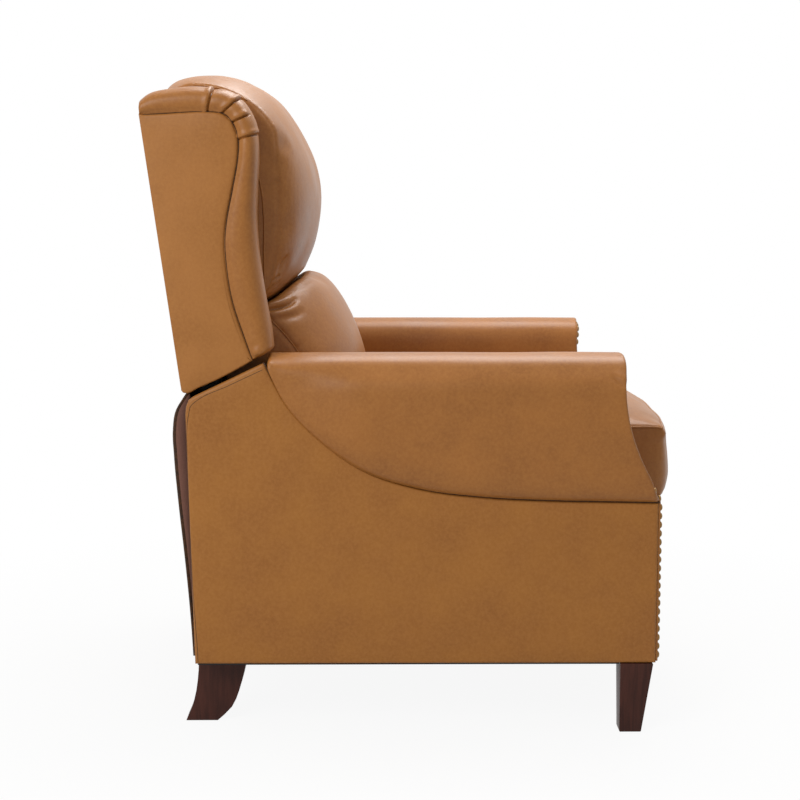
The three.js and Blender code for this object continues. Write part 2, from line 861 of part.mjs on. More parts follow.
// How deep the roll stands off the seam at each of those points, and which way it faces there,
// as a share of a quarter turn from straight up to straight forward.
const wingRollShares = [
  { deep: 0.56, face: 0 },
  { deep: 0.72, face: 0.02 },
  { deep: 0.8, face: 0.12 },
  { deep: 0.68, face: 0.5 },
  { deep: 0.6, face: 0.85 },
  { deep: 0.58, face: 1 },
  { deep: 0.78, face: 1 },
  { deep: 0.95, face: 1 },
  { deep: 1.03, face: 1 },
  { deep: 1.04, face: 1 },
  { deep: 1, face: 1 },
  { deep: 0.88, face: 1 },
  { deep: 0.55, face: 1.05 },
];

const wingSeam = placed(wingSeamShares, 0, -wingDepth, 0, wingHeight);

function makeWings() {
  const outline = [
    ...wingSeam,
    [-wingDepth * wingFootShares[0], wingHeight * wingFootShares[1]],
    [-outsideThickness - clearance, wingFootSlope],
  ];
  addPair("wing_cover", slab(outline, wingInner, wingHalfWidth), leather, back);
  const rings = wingSeam.map(([y, z], i) => wingRollRing(y, z, wingRollShares[i]));
  addPair("wing_roll", loft(rings), leather, back);
}

// A ring of the roll: flat against the wing's edge, round outside.
function wingRollRing(y, z, { deep, face }) {
  const angle = (face * Math.PI) / 2;
  const out = [-Math.sin(angle), Math.cos(angle)];
  const middle = wingHalfWidth - wingThickness / 2;
  const ring = [];
  for (let i = 0; i <= rollSteps; i++) {
    const turn = (i / rollSteps) * Math.PI;
    const rise = clearance + Math.sin(turn) ** rollFullness * deep * wingRollDepth;
    const x = middle + (Math.cos(turn) * wingThickness) / 2 + Math.sin(turn) * wingRollCrest;
    ring.push(new THREE.Vector3(x, y + out[0] * rise, z + out[1] * rise));
  }
  return ring;
}

function makeOutsideBack() {
  const panel = block(-wingHalfWidth, wingHalfWidth, -outsideThickness, 0, 0, wingHeight);
  addPart("outside_back_cover", panel, leather, back);
}

function makeBackFrame() {
  const rear = -outsideThickness - clearance;
  const front = rear - uprightDepth;
  const outer = bracketInner - clearance;
  const upright = block(outer - uprightWidth, outer, front, rear, uprightBottom, uprightTop);
  addPair("back_upright", upright, wood, back);
  const half = outer - uprightWidth - clearance;
  const rail = (foot) => block(-half, half, rear - backRailDepth, rear, foot, foot + backRailHeight);
  addPart("back_top_rail", rail(uprightTop - backRailHeight), wood, back);
  addPart("back_bottom_rail", rail(bottomRailFoot), wood, back);
}

// Pillow outlines at their middle: forward shares of their reach, height shares of their height.
// The head pillow also rests on the top of the frame.
const pillowRear = outsideThickness + 2 * clearance + uprightDepth;
const headRearShare = pillowRear / headReach;
const headRestShare = 1 - headRise / headHeight;
const headShares = [
  [headRearShare, 0.03],
  [0.45, 0],
  [0.59, 0],
  [0.66, 0.03],
  [0.74, 0.075],
  [0.83, 0.155],
  [0.91, 0.235],
  [0.97, 0.33],
  [1, 0.45],
  [0.993, 0.54],
  [0.965, 0.63],
  [0.92, 0.72],
  [0.85, 0.81],
  [0.74, 0.905],
  [0.63, 0.96],
  [0.4, 1],
  [0.215, 1],
  [0.09, 0.97],
  [0.06, 0.92],
  [0.06, headRestShare],
  [headRearShare, headRestShare],
];

const lumbarRearShare = pillowRear / lumbarReach;
const lumbarShares = [
  [lumbarRearShare, 0.04],
  [0.45, 0],
  [0.72, 0.015],
  [0.86, 0.05],
  [0.95, 0.11],
  [0.985, 0.2],
  [1, 0.36],
  [1, 0.5],
  [0.975, 0.66],
  [0.93, 0.78],
  [0.87, 0.88],
  [0.8, 0.945],
  [0.745, 0.95],
  [0.7, 0.9],
  [0.645, 0.835],
  [0.585, 0.79],
  [0.52, 0.773],
  [0.45, 0.773],
  [lumbarRearShare, 0.78],
];

const pillowRingShares = [
  { at: 0, sink: 0, draw: 0 },
  { at: 0.5, sink: 0.04, draw: 0 },
  { at: 0.8, sink: 0.11, draw: 0.005 },
  { at: 0.94, sink: 0.2, draw: 0.015 },
  { at: 1, sink: 0.3, draw: 0.035 },
];

// The part of a pillow that meets the frame keeps its outline; the rest rounds off towards its ends.
function pillow(shares, halfWidth, reach, bottom, height) {
  const rings = bothSides(pillowRingShares).map(({ at, sink, draw }) =>
    shares.map(([s, t]) => {
      const padding = s * reach - pillowRear;
      if (padding < clearance) return new THREE.Vector3(at * halfWidth, -s * reach, bottom + height * t);
      const z = bottom + height * THREE.MathUtils.lerp(draw, 1 - draw, t);
      return new THREE.Vector3(at * halfWidth, -pillowRear - padding * (1 - sink), z);
    }),
  );
  return loft(rings);
}

function makePillows() {
  addPart("head_pillow", pillow(headShares, headHalfWidth, headReach, headBottom, headHeight), leather, back);
  const lumbar = pillow(lumbarShares, lumbarHalfWidth, lumbarReach, lumbarBottom, lumbarHeight);
  addPart("lumbar_pillow", lumbar, leather, back);
}

// Hinge brackets and seat links, in the chair's frame

const bracketOuter = innerHalfWidth - 2 * clearance;
const bracketInner = bracketOuter - bracketThickness;
const seatLinkOuter = bracketInner - linkGap;
const hingePoint = [hingeY, hingeZ];
const armPoint = [hingeY, seatLinkPinZ - bracketArmDrop];
const seatLinkPoint = [seatLinkPinY, seatLinkPinZ];

// A point of the back's own frame in the chair's (y, z) plane.
function fromBack([y, z]) {
  const cos = Math.cos(backLean);
  const sin = Math.sin(backLean);
  return [wingFootRear + y * cos + z * sin, wingFootHeight - y * sin + z * cos];
}

function makeHinges() {
  const middle = -outsideThickness - clearance - uprightDepth / 2;
  const low = fromBack([middle, uprightBottom + bracketHalfWidth]);
  const high = fromBack([middle, bracketHalfWidth]);
  const strap = bar(low, high, bracketInner, bracketOuter, bracketHalfWidth);
  const neck = bar(hingePoint, low, bracketInner, bracketOuter, bracketHalfWidth);
  const arm = bar(armPoint, hingePoint, bracketInner, bracketOuter, bracketHalfWidth);
  const hingePin = pin(hingePoint, bracketInner, innerHalfWidth + hingePinLength, hingePinRadius);
  const linkPin = pin(armPoint, seatLinkOuter - plateThickness, bracketOuter, linkPinRadius);
  addPair("back_hinge_bracket", join(strap, neck, arm, hingePin, linkPin), steel);
  const x0 = seatLinkOuter - plateThickness;
  const link = bar(armPoint, seatLinkPoint, x0, seatLinkOuter, seatLinkHalfWidth);
  const tight = bore(seatLinkPoint, x0, seatLinkOuter, linkPinRadius, pivotPlay);
  const loose = bore(armPoint, x0, seatLinkOuter, linkPinRadius, seatLinkPlay);
  addPair("seat_link", cut(link, tight, loose), steel);
}

// Footrest linkage. Its pivots follow from the folded pose, with the rear link sized so that
// the loop closes folded and open.

function ahead([y, z], angle, length) {
  return [y - Math.cos(angle) * length, z + Math.sin(angle) * length];
}

const frontPivot = [-frontPivotReach, frontPivotHeight];
const crossPivot = ahead(frontPivot, frontLinkFolded, frontLinkLength);
const outerPivot = ahead(frontPivot, frontLinkFolded, frontLinkLength + frontLinkTail);
const footRun = footPivotReach + crossPivot[0];
const crossFolded = Math.acos(footRun / crossLinkLength);
const footPivot = ahead(crossPivot, crossFolded, crossLinkLength);
const footLowPivot = [footPivot[0], footPivot[1] - footPivotSpacing];
const rearEnd = ahead(crossPivot, crossFolded, -crossLinkTail);
const crossPivotOpen = ahead(frontPivot, frontLinkOpen, frontLinkLength);
const rearEndOpen = ahead(crossPivotOpen, crossLinkOpen, -crossLinkTail);

// The rear pivot lies on the bisector of the rear link's two end points, at its own height.
function rearPivotPoint() {
  const middle = [(rearEnd[0] + rearEndOpen[0]) / 2, (rearEnd[1] + rearEndOpen[1]) / 2];
  const slope = (rearEndOpen[1] - rearEnd[1]) / (rearEndOpen[0] - rearEnd[0]);
  return [middle[0] - (rearPivotHeight - middle[1]) * slope, rearPivotHeight];
}

const rearPivot = rearPivotPoint();
const plateX = [mechanismOuter - plateThickness, mechanismOuter];
const layer = (n) => plateX.map((x) => x - n * (plateThickness + linkGap));
const outerX = layer(1);
const frontX = layer(2);
const crossX = layer(3);
const rearX = layer(4);

function link(from, to, [x0, x1], pins, holes) {
  const body = bar(from, to, x0, x1, linkHalfWidth);
  const withPins = pins.length ? join(body, ...pins) : body;
  return cut(withPins, ...holes);
}

function hole(at, [x0, x1], play) {
  return bore(at, x0, x1, linkPinRadius, play);
}

function makeLinkage() {
  const low = Math.min(frontPivot[1], rearPivot[1]) - linkHalfWidth;
  const outline = [
    [plateFront, seatRailTop - plateTopInset],
    [plateFront, frontPivot[1] - linkHalfWidth],
    [rearPivot[0] - linkHalfWidth, low],
    [rearPivot[0] + linkHalfWidth, low],
    [plateRear, seatRailTop - plateTopInset],
  ];
  const plate = join(
    slab(outline.reverse(), ...plateX),
    pin(frontPivot, frontX[0], plateX[1], linkPinRadius),
    pin(rearPivot, rearX[0], plateX[1], linkPinRadius),
  );
  addPair("mechanism_plate", plate, steel);
  const crossPin = pin(crossPivot, crossX[0], frontX[1], linkPinRadius);
  const outerPin = pin(outerPivot, frontX[0], outerX[1], linkPinRadius);
  const frontPins = [crossPin, outerPin];
  const frontLink = link(frontPivot, outerPivot, frontX, frontPins, [hole(frontPivot, frontX, pivotPlay)]);
  addPair("front_link", frontLink, steel);
  const crossHoles = [
    hole(crossPivot, crossX, pivotPlay),
    hole(footPivot, crossX, pivotPlay),
    hole(rearEnd, crossX, crossPlay),
  ];
  addPair("cross_link", link(rearEnd, footPivot, crossX, [], crossHoles), steel);
  const rearPin = pin(rearEnd, rearX[0], crossX[1], linkPinRadius);
  const rearLink = link(rearPivot, rearEnd, rearX, [rearPin], [hole(rearPivot, rearX, pivotPlay)]);
  addPair("rear_link", rearLink, steel);
  const outerHoles = [hole(outerPivot, outerX, pivotPlay), hole(footLowPivot, outerX, outerPlay)];
  addPair("outer_link", link(outerPivot, footLowPivot, outerX, [], outerHoles), steel);
}

function makeFootrest() {
  const boardX = footrestHalfWidth - footrestBoardInset;
  const boardFront = footrestRear - footrestBoardThickness;
  const board = block(
    -boardX, boardX, boardFront, footrestRear,
    footrestBottom + footrestBoardInset, footrestTop - footrestBoardInset,
  );
  addPart("footrest_board", board, wood);
  addPart("footrest_pad", padSolid(boardFront - clearance), leatherShade);
  const face = footrestRear + clearance;
  const plate = slab(
    [
      [face, footLowPivot[1] - footBracketMargin],
      [footPivot[0] + linkHalfWidth, footLowPivot[1]],
      [footPivot[0] + linkHalfWidth, footPivot[1]],
      [face, footPivot[1] + footBracketMargin],
    ],
    ...frontX,
  );
  const flange = block(
    frontX[1] - footFlangeWidth, frontX[1], face, face + footFlangeThickness,
    footLowPivot[1] - footBracketMargin, footPivot[1] + footBracketMargin,
  );
  const footPin = pin(footPivot, crossX[0], frontX[1], linkPinRadius);
  const lowPin = pin(footLowPivot, frontX[0], outerX[1], linkPinRadius);
  addPair("footrest_bracket", join(plate, flange, footPin, lowPin), steel);
}

// The pad's section: forward shares of its thickness, height shares of its height.
const padShares = [
  [0, 0.02],
  [0.45, 0],
  [0.8, 0.03],
  [0.97, 0.14],
  [1, 0.5],
  [0.97, 0.86],
  [0.8, 0.97],
  [0.45, 1],
  [0, 0.98],
];

function padSolid(rear) {
  const height = footrestTop - footrestBottom;
  const rings = bothSides(pillowRingShares).map(({ at, sink, draw }) =>
    padShares.map(([s, t]) => {
      const y = rear - s * footrestPadThickness * (1 - sink);
      const z = footrestBottom + height * THREE.MathUtils.lerp(draw, 1 - draw, t);
      return new THREE.Vector3(at * footrestHalfWidth, y, z);
    }),
  );
  return loft(rings);
}

makeSideCovers();
makeSidePanels();
makePosts();
makeCrossRails();
makeDustCover();
makeArmPads();
makeArmFronts();
makeLegs();
makeFlap();
makeSeatTracks();
makeSeatFrame();
makeSprings();
makeSeatCushion();
makeWings();
makeOutsideBack();
makeBackFrame();
makePillows();
makeHinges();
makeLinkage();
makeFootrest();

export default chair;
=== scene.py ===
import json
import math

import bmesh
import bpy
import numpy as np
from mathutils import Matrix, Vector, noise
from mathutils.bvhtree import BVHTree


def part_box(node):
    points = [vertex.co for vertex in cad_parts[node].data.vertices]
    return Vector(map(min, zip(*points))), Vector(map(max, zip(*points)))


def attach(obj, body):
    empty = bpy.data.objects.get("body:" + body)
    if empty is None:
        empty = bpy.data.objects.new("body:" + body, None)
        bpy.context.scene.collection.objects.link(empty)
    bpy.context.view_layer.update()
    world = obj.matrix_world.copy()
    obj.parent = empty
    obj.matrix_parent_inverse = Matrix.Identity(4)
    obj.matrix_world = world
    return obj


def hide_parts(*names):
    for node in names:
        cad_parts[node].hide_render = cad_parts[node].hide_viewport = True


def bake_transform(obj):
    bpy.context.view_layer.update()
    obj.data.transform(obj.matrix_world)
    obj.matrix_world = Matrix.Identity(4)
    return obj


bl_info = {
    "name": "Wingback Recliner",
    "version": (1, 0, 0),
    "blender": (4, 5, 0),
    "location": "View3D > Sidebar > Recliner",
    "description": "Dresses a press-back wingback recliner in saddle-tan leather on its packed frame",
    "category": "Object",
}

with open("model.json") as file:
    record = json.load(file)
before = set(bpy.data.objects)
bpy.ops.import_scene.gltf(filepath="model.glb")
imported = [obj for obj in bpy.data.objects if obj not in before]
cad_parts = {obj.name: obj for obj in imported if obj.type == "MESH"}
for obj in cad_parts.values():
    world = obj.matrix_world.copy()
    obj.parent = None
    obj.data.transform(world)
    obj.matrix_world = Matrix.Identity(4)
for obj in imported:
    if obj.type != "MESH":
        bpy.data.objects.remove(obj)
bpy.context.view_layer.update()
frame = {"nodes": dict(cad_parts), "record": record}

# All sizes in this file are in millimetres, unless a comment says otherwise.
MM = 0.001
SIDES = {"left": 1, "right": -1}

# The back is drawn in its own frame: forward from the outside back, and up the wing's rear edge.
BACK_FOOT_Y, BACK_FOOT_Z = 369, 551
BACK_LEAN = math.radians(8.57)


def linear(colour):
    """An sRGB hex colour as the linear values that Blender's sockets take."""
    parts = [int(colour[i:i + 2], 16) / 255 for i in (1, 3, 5)]
    return tuple(c / 12.92 if c <= 0.04045 else ((c + 0.055) / 1.055) ** 2.4 for c in parts)


# Lines and surfaces

def lengths(points):
    """How far along a line each of its points lies."""
    return np.concatenate([[0], np.cumsum(np.linalg.norm(np.diff(points, axis=0), axis=1))])


def unit(vectors):
    """The same vectors, each of length 1."""
    return vectors / np.linalg.norm(vectors, axis=-1, keepdims=True)


def even(points, count):
    """The same line, with evenly spaced points."""
    p = np.array(points, float)
    far = lengths(p)
    at = np.linspace(0, far[-1], count)
    return np.stack([np.interp(at, far, p[:, i]) for i in range(p.shape[1])], axis=1)


def smooth(points, count):
    """Evenly spaced points on a smooth line through a few given ones."""
    p = np.array(points, float)
    gaps = np.linalg.norm(np.diff(p, axis=0), axis=1)
    knots = lengths(p)
    slope = np.gradient(p, knots, axis=0)
    u = np.linspace(0, knots[-1], 40 * len(p))
    k = np.clip(np.searchsorted(knots, u, side="right") - 1, 0, len(p) - 2)
    h = gaps[k][:, None]
    t = ((u - knots[k]) / gaps[k])[:, None]
    fine = ((2 * t**3 - 3 * t**2 + 1) * p[k] + (t**3 - 2 * t**2 + t) * h * slope[k]
            + (3 * t**2 - 2 * t**3) * p[k + 1] + (t**3 - t**2) * h * slope[k + 1])
    return even(fine, count)


def ramp(x, low, high):
    """0 below low, 1 above high, smooth between."""
    t = np.clip((np.asarray(x, float) - low) / (high - low), 0, 1)
    return t * t * (3 - 2 * t)


def drift(points, size, seed):
    """Slow noise from -1 to 1 over points, with lumps about `size` across."""
    p = np.asarray(points, float) / size + seed
    return np.array([noise.noise(Vector(q)) for q in p.reshape(-1, 3)]).reshape(p.shape[:-1])


def patch(bottom, right, top, left):
    """A grid that fills the space inside four border lines."""
    s = np.linspace(0, 1, len(bottom))[:, None, None]
    t = np.linspace(0, 1, len(left))[None, :, None]
    corners = ((1 - s) * (1 - t) * bottom[0] + s * (1 - t) * bottom[-1]
               + (1 - s) * t * top[0] + s * t * top[-1])
    return ((1 - t) * bottom[:, None] + t * top[:, None]
            + (1 - s) * left[None] + s * right[None] - corners)


def box_sides(left, right, low, high, across, upward):
    """The four border lines of a rectangle, with so many points across and upward."""
    return (even([(left, low), (right, low)], across), even([(right, low), (right, high)], upward),
            even([(left, high), (right, high)], across), even([(left, low), (left, high)], upward))


def wall(first, count):
    """The quads between a ring of points and the next one."""
    nexts = [(k, (k + 1) % count) for k in range(count)]
    return [(first + a, first + b, first + b + count, first + a + count) for a, b in nexts]


def skin(rings):
    """A skin over rings of equal length, with its two ends filled."""
    count = len(rings[0])
    points = [tuple(p) for ring in rings for p in ring]
    faces = [face for r in range(len(rings) - 1) for face in wall(r * count, count)]
    for ring, first in ((rings[0], 0), (rings[-1], (len(rings) - 1) * count)):
        middle = len(points)
        points.append(tuple(np.mean(ring, axis=0)))
        faces += [(first + i, first + (i + 1) % count, middle) for i in range(count)]
    return points, faces


def tube(path, radius, sides=8):
    """Points and faces of a round cord along a path."""
    p = np.array(path, float)
    rings = []
    across = None
    for centre, ahead in zip(p, unit(np.gradient(p, axis=0))):
        if across is None:
            across = np.cross(ahead, (0.0, 0.0, 1.0))
            if np.linalg.norm(across) < 1e-3:
                across = np.cross(ahead, (1.0, 0.0, 0.0))
        across = unit(across - ahead * (across @ ahead))
        other = np.cross(ahead, across)
        rings.append([centre + radius * (math.cos(a) * across + math.sin(a) * other)
                      for a in np.linspace(0, 2 * math.pi, sides, endpoint=False)])
    return skin(rings)


def padded_board(sides, depth, edge, crown, spread, place, lumps, seed, softness=(1, 1, 1, 1)):
    """A board covered in leather: rounded edges, a crowned face that swells within `spread`
    of its border, and a flat back. `place` turns (along, up, out) into chair coordinates, and
    `softness` is each side's share of the edge radius, from the bottom round to the left."""
    bottom, right, top, left = sides
    n, m = len(bottom), len(left)
    loop = np.vstack([bottom[:-1], right[:-1], top[::-1][:-1], left[::-1][:-1]])
    total = len(loop)
    ahead = np.roll(loop, -1, axis=0) - np.roll(loop, 1, axis=0)
    inward = np.stack([-ahead[:, 1], ahead[:, 0]], axis=1)
    area = np.sum(loop[:, 0] * np.roll(loop[:, 1], -1) - np.roll(loop[:, 0], -1) * loop[:, 1])
    inward *= (1 if area > 0 else -1) / np.linalg.norm(inward, axis=1)[:, None]
    for _ in range(2):
        inward = (np.roll(inward, 1, axis=0) + 2 * inward + np.roll(inward, -1, axis=0)) / 4
    share = np.concatenate([np.full(len(side) - 1, float(soft)) for side, soft in zip(sides, softness)])
    for _ in range(6):
        share = (np.roll(share, 1) + 2 * share + np.roll(share, -1)) / 4

    # Each ring of the edge: how far in from the border, how far out from its base, and the base.
    turns = np.linspace(0, math.pi / 2, 6)
    back_edge = min(edge, depth / 3)
    profile = [(back_edge * (1 - math.cos(t)), back_edge * (1 - math.sin(t)), 0) for t in turns[::-1]]
    profile += [(edge * (1 - math.cos(t)), -edge * (1 - math.sin(t)), depth) for t in turns]
    points, faces, rings = [], [], []
    for inset, out, base in profile:
        ring = loop + inward * inset * share[:, None]
        rings.append(ring)
        points += [(a, b, base + out * part) for (a, b), part in zip(ring, share)]
    for number in range(len(profile) - 1):
        faces += wall(number * total, total)

    def border_point(i, j):
        """The border's point at a place of the face's grid, or None inside it."""
        if j == 0:
            return i
        if i == n - 1:
            return n - 1 + j
        if j == m - 1:
            return 2 * n + m - 3 - i
        return total - j if i == 0 else None

    lump_size, lump_edge = 90, 15
    last = (len(profile) - 1) * total
    for ring, first, out, swell in ((rings[0], 0, 0, 0), (rings[-1], last, depth, crown)):
        closed = np.vstack([ring, ring[:1]])
        grid = patch(closed[:n], closed[n - 1:n + m - 1], closed[n + m - 2:2 * n + m - 2][::-1],
                     closed[2 * n + m - 3:][::-1])
        index = [[0] * m for _ in range(n)]
        for i in range(n):
            for j in range(m):
                known = border_point(i, j)
                if known is not None:
                    index[i][j] = first + known
                    continue
                a, b = grid[i, j]
                reach = math.sqrt(np.min(np.sum((ring - (a, b)) ** 2, axis=1)))
                rise = swell * (1 - math.exp(-reach / spread))
                if swell:
                    wave = noise.noise(Vector((a / lump_size + seed, b / lump_size, seed)))
                    rise += lumps * wave * min(reach / lump_edge, 1)
                index[i][j] = len(points)
                points.append((a, b, out + rise))
        faces += [(index[i][j], index[i + 1][j], index[i + 1][j + 1], index[i][j + 1])
                  for i in range(n - 1) for j in range(m - 1)]
    p = np.array(points)
    return place(p[:, 0], p[:, 1], p[:, 2]), faces


def chair_place(x, y, z):
    """Places from their separate coordinates."""
    return np.stack([x, y, z], axis=-1)


def back_place(x, forward, up):
    """Places in the back's own frame as places in the chair's."""
    cos, sin = math.cos(BACK_LEAN), math.sin(BACK_LEAN)
    return chair_place(x, BACK_FOOT_Y - forward * cos + up * sin, BACK_FOOT_Z + forward * sin + up * cos)


# Pieces

def link(thing):
    """Puts an object in the scene."""
    bpy.context.scene.collection.objects.link(thing)
    return thing


def new_piece(name, points, faces, *materials, soft_edges=True):
    """A mesh object from millimetre points, with its faces turned outwards."""
    mesh = bpy.data.meshes.new(name)
    mesh.from_pydata([tuple(c * MM for c in p) for p in points], [], faces)
    for material in materials:
        mesh.materials.append(material)
    work = bmesh.new()
    work.from_mesh(mesh)
    bmesh.ops.recalc_face_normals(work, faces=work.faces)
    work.to_mesh(mesh)
    work.free()
    if soft_edges:
        mesh.shade_smooth()
    return link(bpy.data.objects.new(name, mesh))


def on_side(piece, side):
    """A left piece itself, or a mirrored copy of it for the right side."""
    if side == "left":
        return piece
    name = piece.name.replace("_left", "_right")
    mesh = piece.data.copy()
    mesh.name = name
    for vertex in mesh.vertices:
        vertex.co.x = -vertex.co.x
    mesh.flip_normals()
    return link(bpy.data.objects.new(name, mesh))


def cad_copy(node, name, material):
    """A copy of a CAD node's mesh, to be finished as a piece of its own."""
    piece = link(bpy.data.objects.new(name, frame["nodes"][node].data.copy()))
    piece.data.materials.clear()
    piece.data.materials.append(material)
    return piece


def with_modifiers(piece):
    """Keeps the result of a piece's modifiers as its own mesh."""
    evaluated = piece.evaluated_get(bpy.context.evaluated_depsgraph_get())
    mesh = bpy.data.meshes.new_from_object(evaluated)
    piece.modifiers.clear()
    piece.data = mesh


def refine(piece):
    """Divides a piece's faces once."""
    piece.modifiers.new("finer", "SUBSURF").levels = 1
    with_modifiers(piece)
    piece.data.shade_smooth()


def coordinates(mesh):
    """The places of a mesh's vertices, in metres."""
    flat = np.empty(len(mesh.vertices) * 3)
    mesh.vertices.foreach_get("co", flat)
    return flat.reshape(-1, 3)


def outward(mesh):
    """The normals of a mesh's vertices."""
    flat = np.empty(len(mesh.vertices) * 3)
    mesh.vertex_normals.foreach_get("vector", flat)
    return flat.reshape(-1, 3)


def set_coordinates(mesh, places):
    """Moves a mesh's vertices to places in metres."""
    mesh.vertices.foreach_set("co", np.asarray(places, float).ravel())
    mesh.update()


def fill_with_fibre(piece, voxel, cap, held):
    """Weaves a cover anew with threads `voxel` apart and lets it swell as pressurised cloth."""
    remesh = piece.modifiers.new("weave", "REMESH")
    remesh.mode = "VOXEL"
    remesh.voxel_size = voxel * MM
    remesh.use_smooth_shade = True
    with_modifiers(piece)
    swell_as_cloth(piece, cap, held)
    refine(piece)


def swell_as_cloth(piece, cap, held, frames=20):
    """Simulates the cover under the pressure of its filling. The vertices that `held` picks stay
    where they are, and no vertex moves more than `cap`."""
    start = coordinates(piece.data)
    group = piece.vertex_groups.new(name="held")
    group.add([int(i) for i in np.nonzero(held(start / MM))[0]], 1.0, "REPLACE")
    cloth = piece.modifiers.new("fill", "CLOTH")
    settings = cloth.settings
    settings.quality = 5
    settings.mass = 0.4
    settings.tension_stiffness = 25
    settings.compression_stiffness = 25
    settings.bending_stiffness = 12
    settings.use_pressure = True
    settings.uniform_pressure_force = 4.0
    settings.effector_weights.gravity = 0
    settings.vertex_group_mass = "held"
    settings.shrink_min = -0.006
    cloth.collision_settings.use_collision = False
    cloth.point_cache.frame_start = 1
    cloth.point_cache.frame_end = frames
    for step in range(1, frames + 1):
        bpy.context.scene.frame_set(step)
    evaluated = piece.evaluated_get(bpy.context.evaluated_depsgraph_get())
    move = coordinates(evaluated.data) - start
    far = np.linalg.norm(move, axis=1)
    move *= np.minimum(1, cap * MM / np.maximum(far, 1e-9))[:, None]
    piece.modifiers.clear()
    set_coordinates(piece.data, start + evened_out(piece.data, move))
    bpy.context.scene.frame_set(1)


def evened_out(mesh, moves, rounds=12):
    """The moves of a mesh's vertices, smoothed over their neighbours."""
    edges = np.empty(len(mesh.edges) * 2, int)
    mesh.edges.foreach_get("vertices", edges)
    first, second = edges.reshape(-1, 2).T
    neighbours = np.bincount(edges, minlength=len(moves))[:, None]
    for _ in range(rounds):
        total = np.zeros_like(moves)
        np.add.at(total, first, moves[second])
        np.add.at(total, second, moves[first])
        moves = (moves + total / neighbours) / 2
    return moves


def surface_tree(piece):
    """A search tree over a piece's surface."""
    piece.data.update_tag()
    return BVHTree.FromObject(piece, bpy.context.evaluated_depsgraph_get())


def nearest_on(line, places, batch=4000):
    """For each place, how far it is from a line's nearest point, and which point that is."""
    gap, point = np.empty(len(places)), np.empty(len(places), int)
    for first in range(0, len(places), batch):
        part = slice(first, first + batch)
        table = np.linalg.norm(places[part][:, None] - line[None], axis=2)
        point[part] = table.argmin(axis=1)
        gap[part] = table.min(axis=1)
    return gap, point


def pull_in(piece, paths, depth, reach):
    """Draws the cover in along its seams, as the stitching does."""
    places = coordinates(piece.data)
    normals = outward(piece.data)
    for path in paths:
        gap, _ = nearest_on(even(path, 160), places / MM)
        places = places - normals * (np.exp(-((gap / reach) ** 2)) * depth * MM)[:, None]
    set_coordinates(piece.data, places)


def crease(piece, path, depth, reach):
    """Presses a fold into a cover: a narrow valley along the path with a soft ridge on both sides,
    which runs out at its ends."""
    places = coordinates(piece.data)
    line = on_surface(piece, smooth(path, 60), 0)
    middle = line.mean(axis=0)
    radius = np.linalg.norm(line - middle, axis=1).max() + 5 * reach
    chosen = np.nonzero(np.linalg.norm(places / MM - middle, axis=1) < radius)[0]
    gap, nearest = nearest_on(line, places[chosen] / MM)
    end = np.sin(math.pi * (nearest + 0.5) / len(line)) ** 0.8
    ridge = 0.32 * np.exp(-(((gap - 2 * reach) / (1.1 * reach)) ** 2))
    valley = np.exp(-((gap / (0.7 * reach)) ** 2))
    places[chosen] += outward(piece.data)[chosen] * (depth * end * (ridge - valley) * MM)[:, None]
    set_coordinates(piece.data, places)


def seam_puckers(piece, path, reach, height, pitch, seed):
    """Short gathers that run out from a seam."""
    places = coordinates(piece.data) / MM
    line = even(path, 240)
    along = lengths(line)
    chosen = np.nonzero(np.linalg.norm(places - line.mean(axis=0), axis=1) < along[-1])[0]
    gap, nearest = nearest_on(line, places[chosen])
    wobble = np.array([noise.noise(Vector((s / 23, seed, 0))) for s in along])[nearest]
    wave = np.sin(2 * math.pi * along[nearest] / pitch + 3 * wobble)
    out = height * (0.5 + wobble) * wave * np.exp(-gap / reach) * ramp(gap, 0, 4)
    places[chosen] += outward(piece.data)[chosen] * out[:, None]
    set_coordinates(piece.data, places * MM)


def press_apart(piece, other, depth, reach):
    """Draws a cover in where it lies against another piece, so that a dark valley parts them."""
    tree = surface_tree(other)
    places = coordinates(piece.data)
    normals = outward(piece.data)
    for number, place in enumerate(places):
        gap = tree.find_nearest(Vector(place), 2.5 * reach * MM)[3]
        if gap is not None:
            places[number] = place - normals[number] * depth * MM * math.exp(-((gap / MM / reach) ** 2))
    set_coordinates(piece.data, places)


def on_surface(piece, path, lift):
    """The nearest points of a piece's surface to a path, lifted off it by a few tenths."""
    tree = surface_tree(piece)
    found = []
    for point in path:
        place, normal, _, _ = tree.find_nearest(Vector([c * MM for c in point]))
        found.append(np.array(place + normal * lift * MM) / MM)
    found = np.array(found)
    for _ in range(2):
        found[1:-1] = (found[:-2] + 2 * found[1:-1] + found[2:]) / 4
    return found


def add_seam(piece, name, path, radius, material, lift=0.4, count=140):
    """A sewn welt that follows the surface of a piece and goes with it."""
    seam = new_piece(name, *tube(on_surface(piece, even(path, count), lift), radius), material)
    seam.parent = piece


def dress(piece, body, nodes, slot, fill=None):
    """Puts a finished piece on its body in place of its CAD nodes."""
    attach(piece, body)
    if nodes:
        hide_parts(*nodes)


# Materials

def add_node(tree, kind, values=None, links=None, **settings):
    """Adds a node: settings are its own properties, values its constants, links its inputs."""
    node = tree.nodes.new(kind)
    for key, value in settings.items():
        setattr(node, key, value)
    for key, value in (values or {}).items():
        node.inputs[key].default_value = value
    for key, (source, output) in (links or {}).items():
        tree.links.new(source.outputs[output], node.inputs[key])
    return node


def new_material(name):
    """An empty material, with its node tree, its shader and the link that places its textures."""
    material = bpy.data.materials.new(name)
    material.use_nodes = True
    tree = material.node_tree
    tree.nodes.clear()
    shader = add_node(tree, "ShaderNodeBsdfPrincipled")
    add_node(tree, "ShaderNodeOutputMaterial", links={"Surface": (shader, "BSDF")})
    return material, tree, shader, {"Vector": (add_node(tree, "ShaderNodeTexCoord"), "Object")}


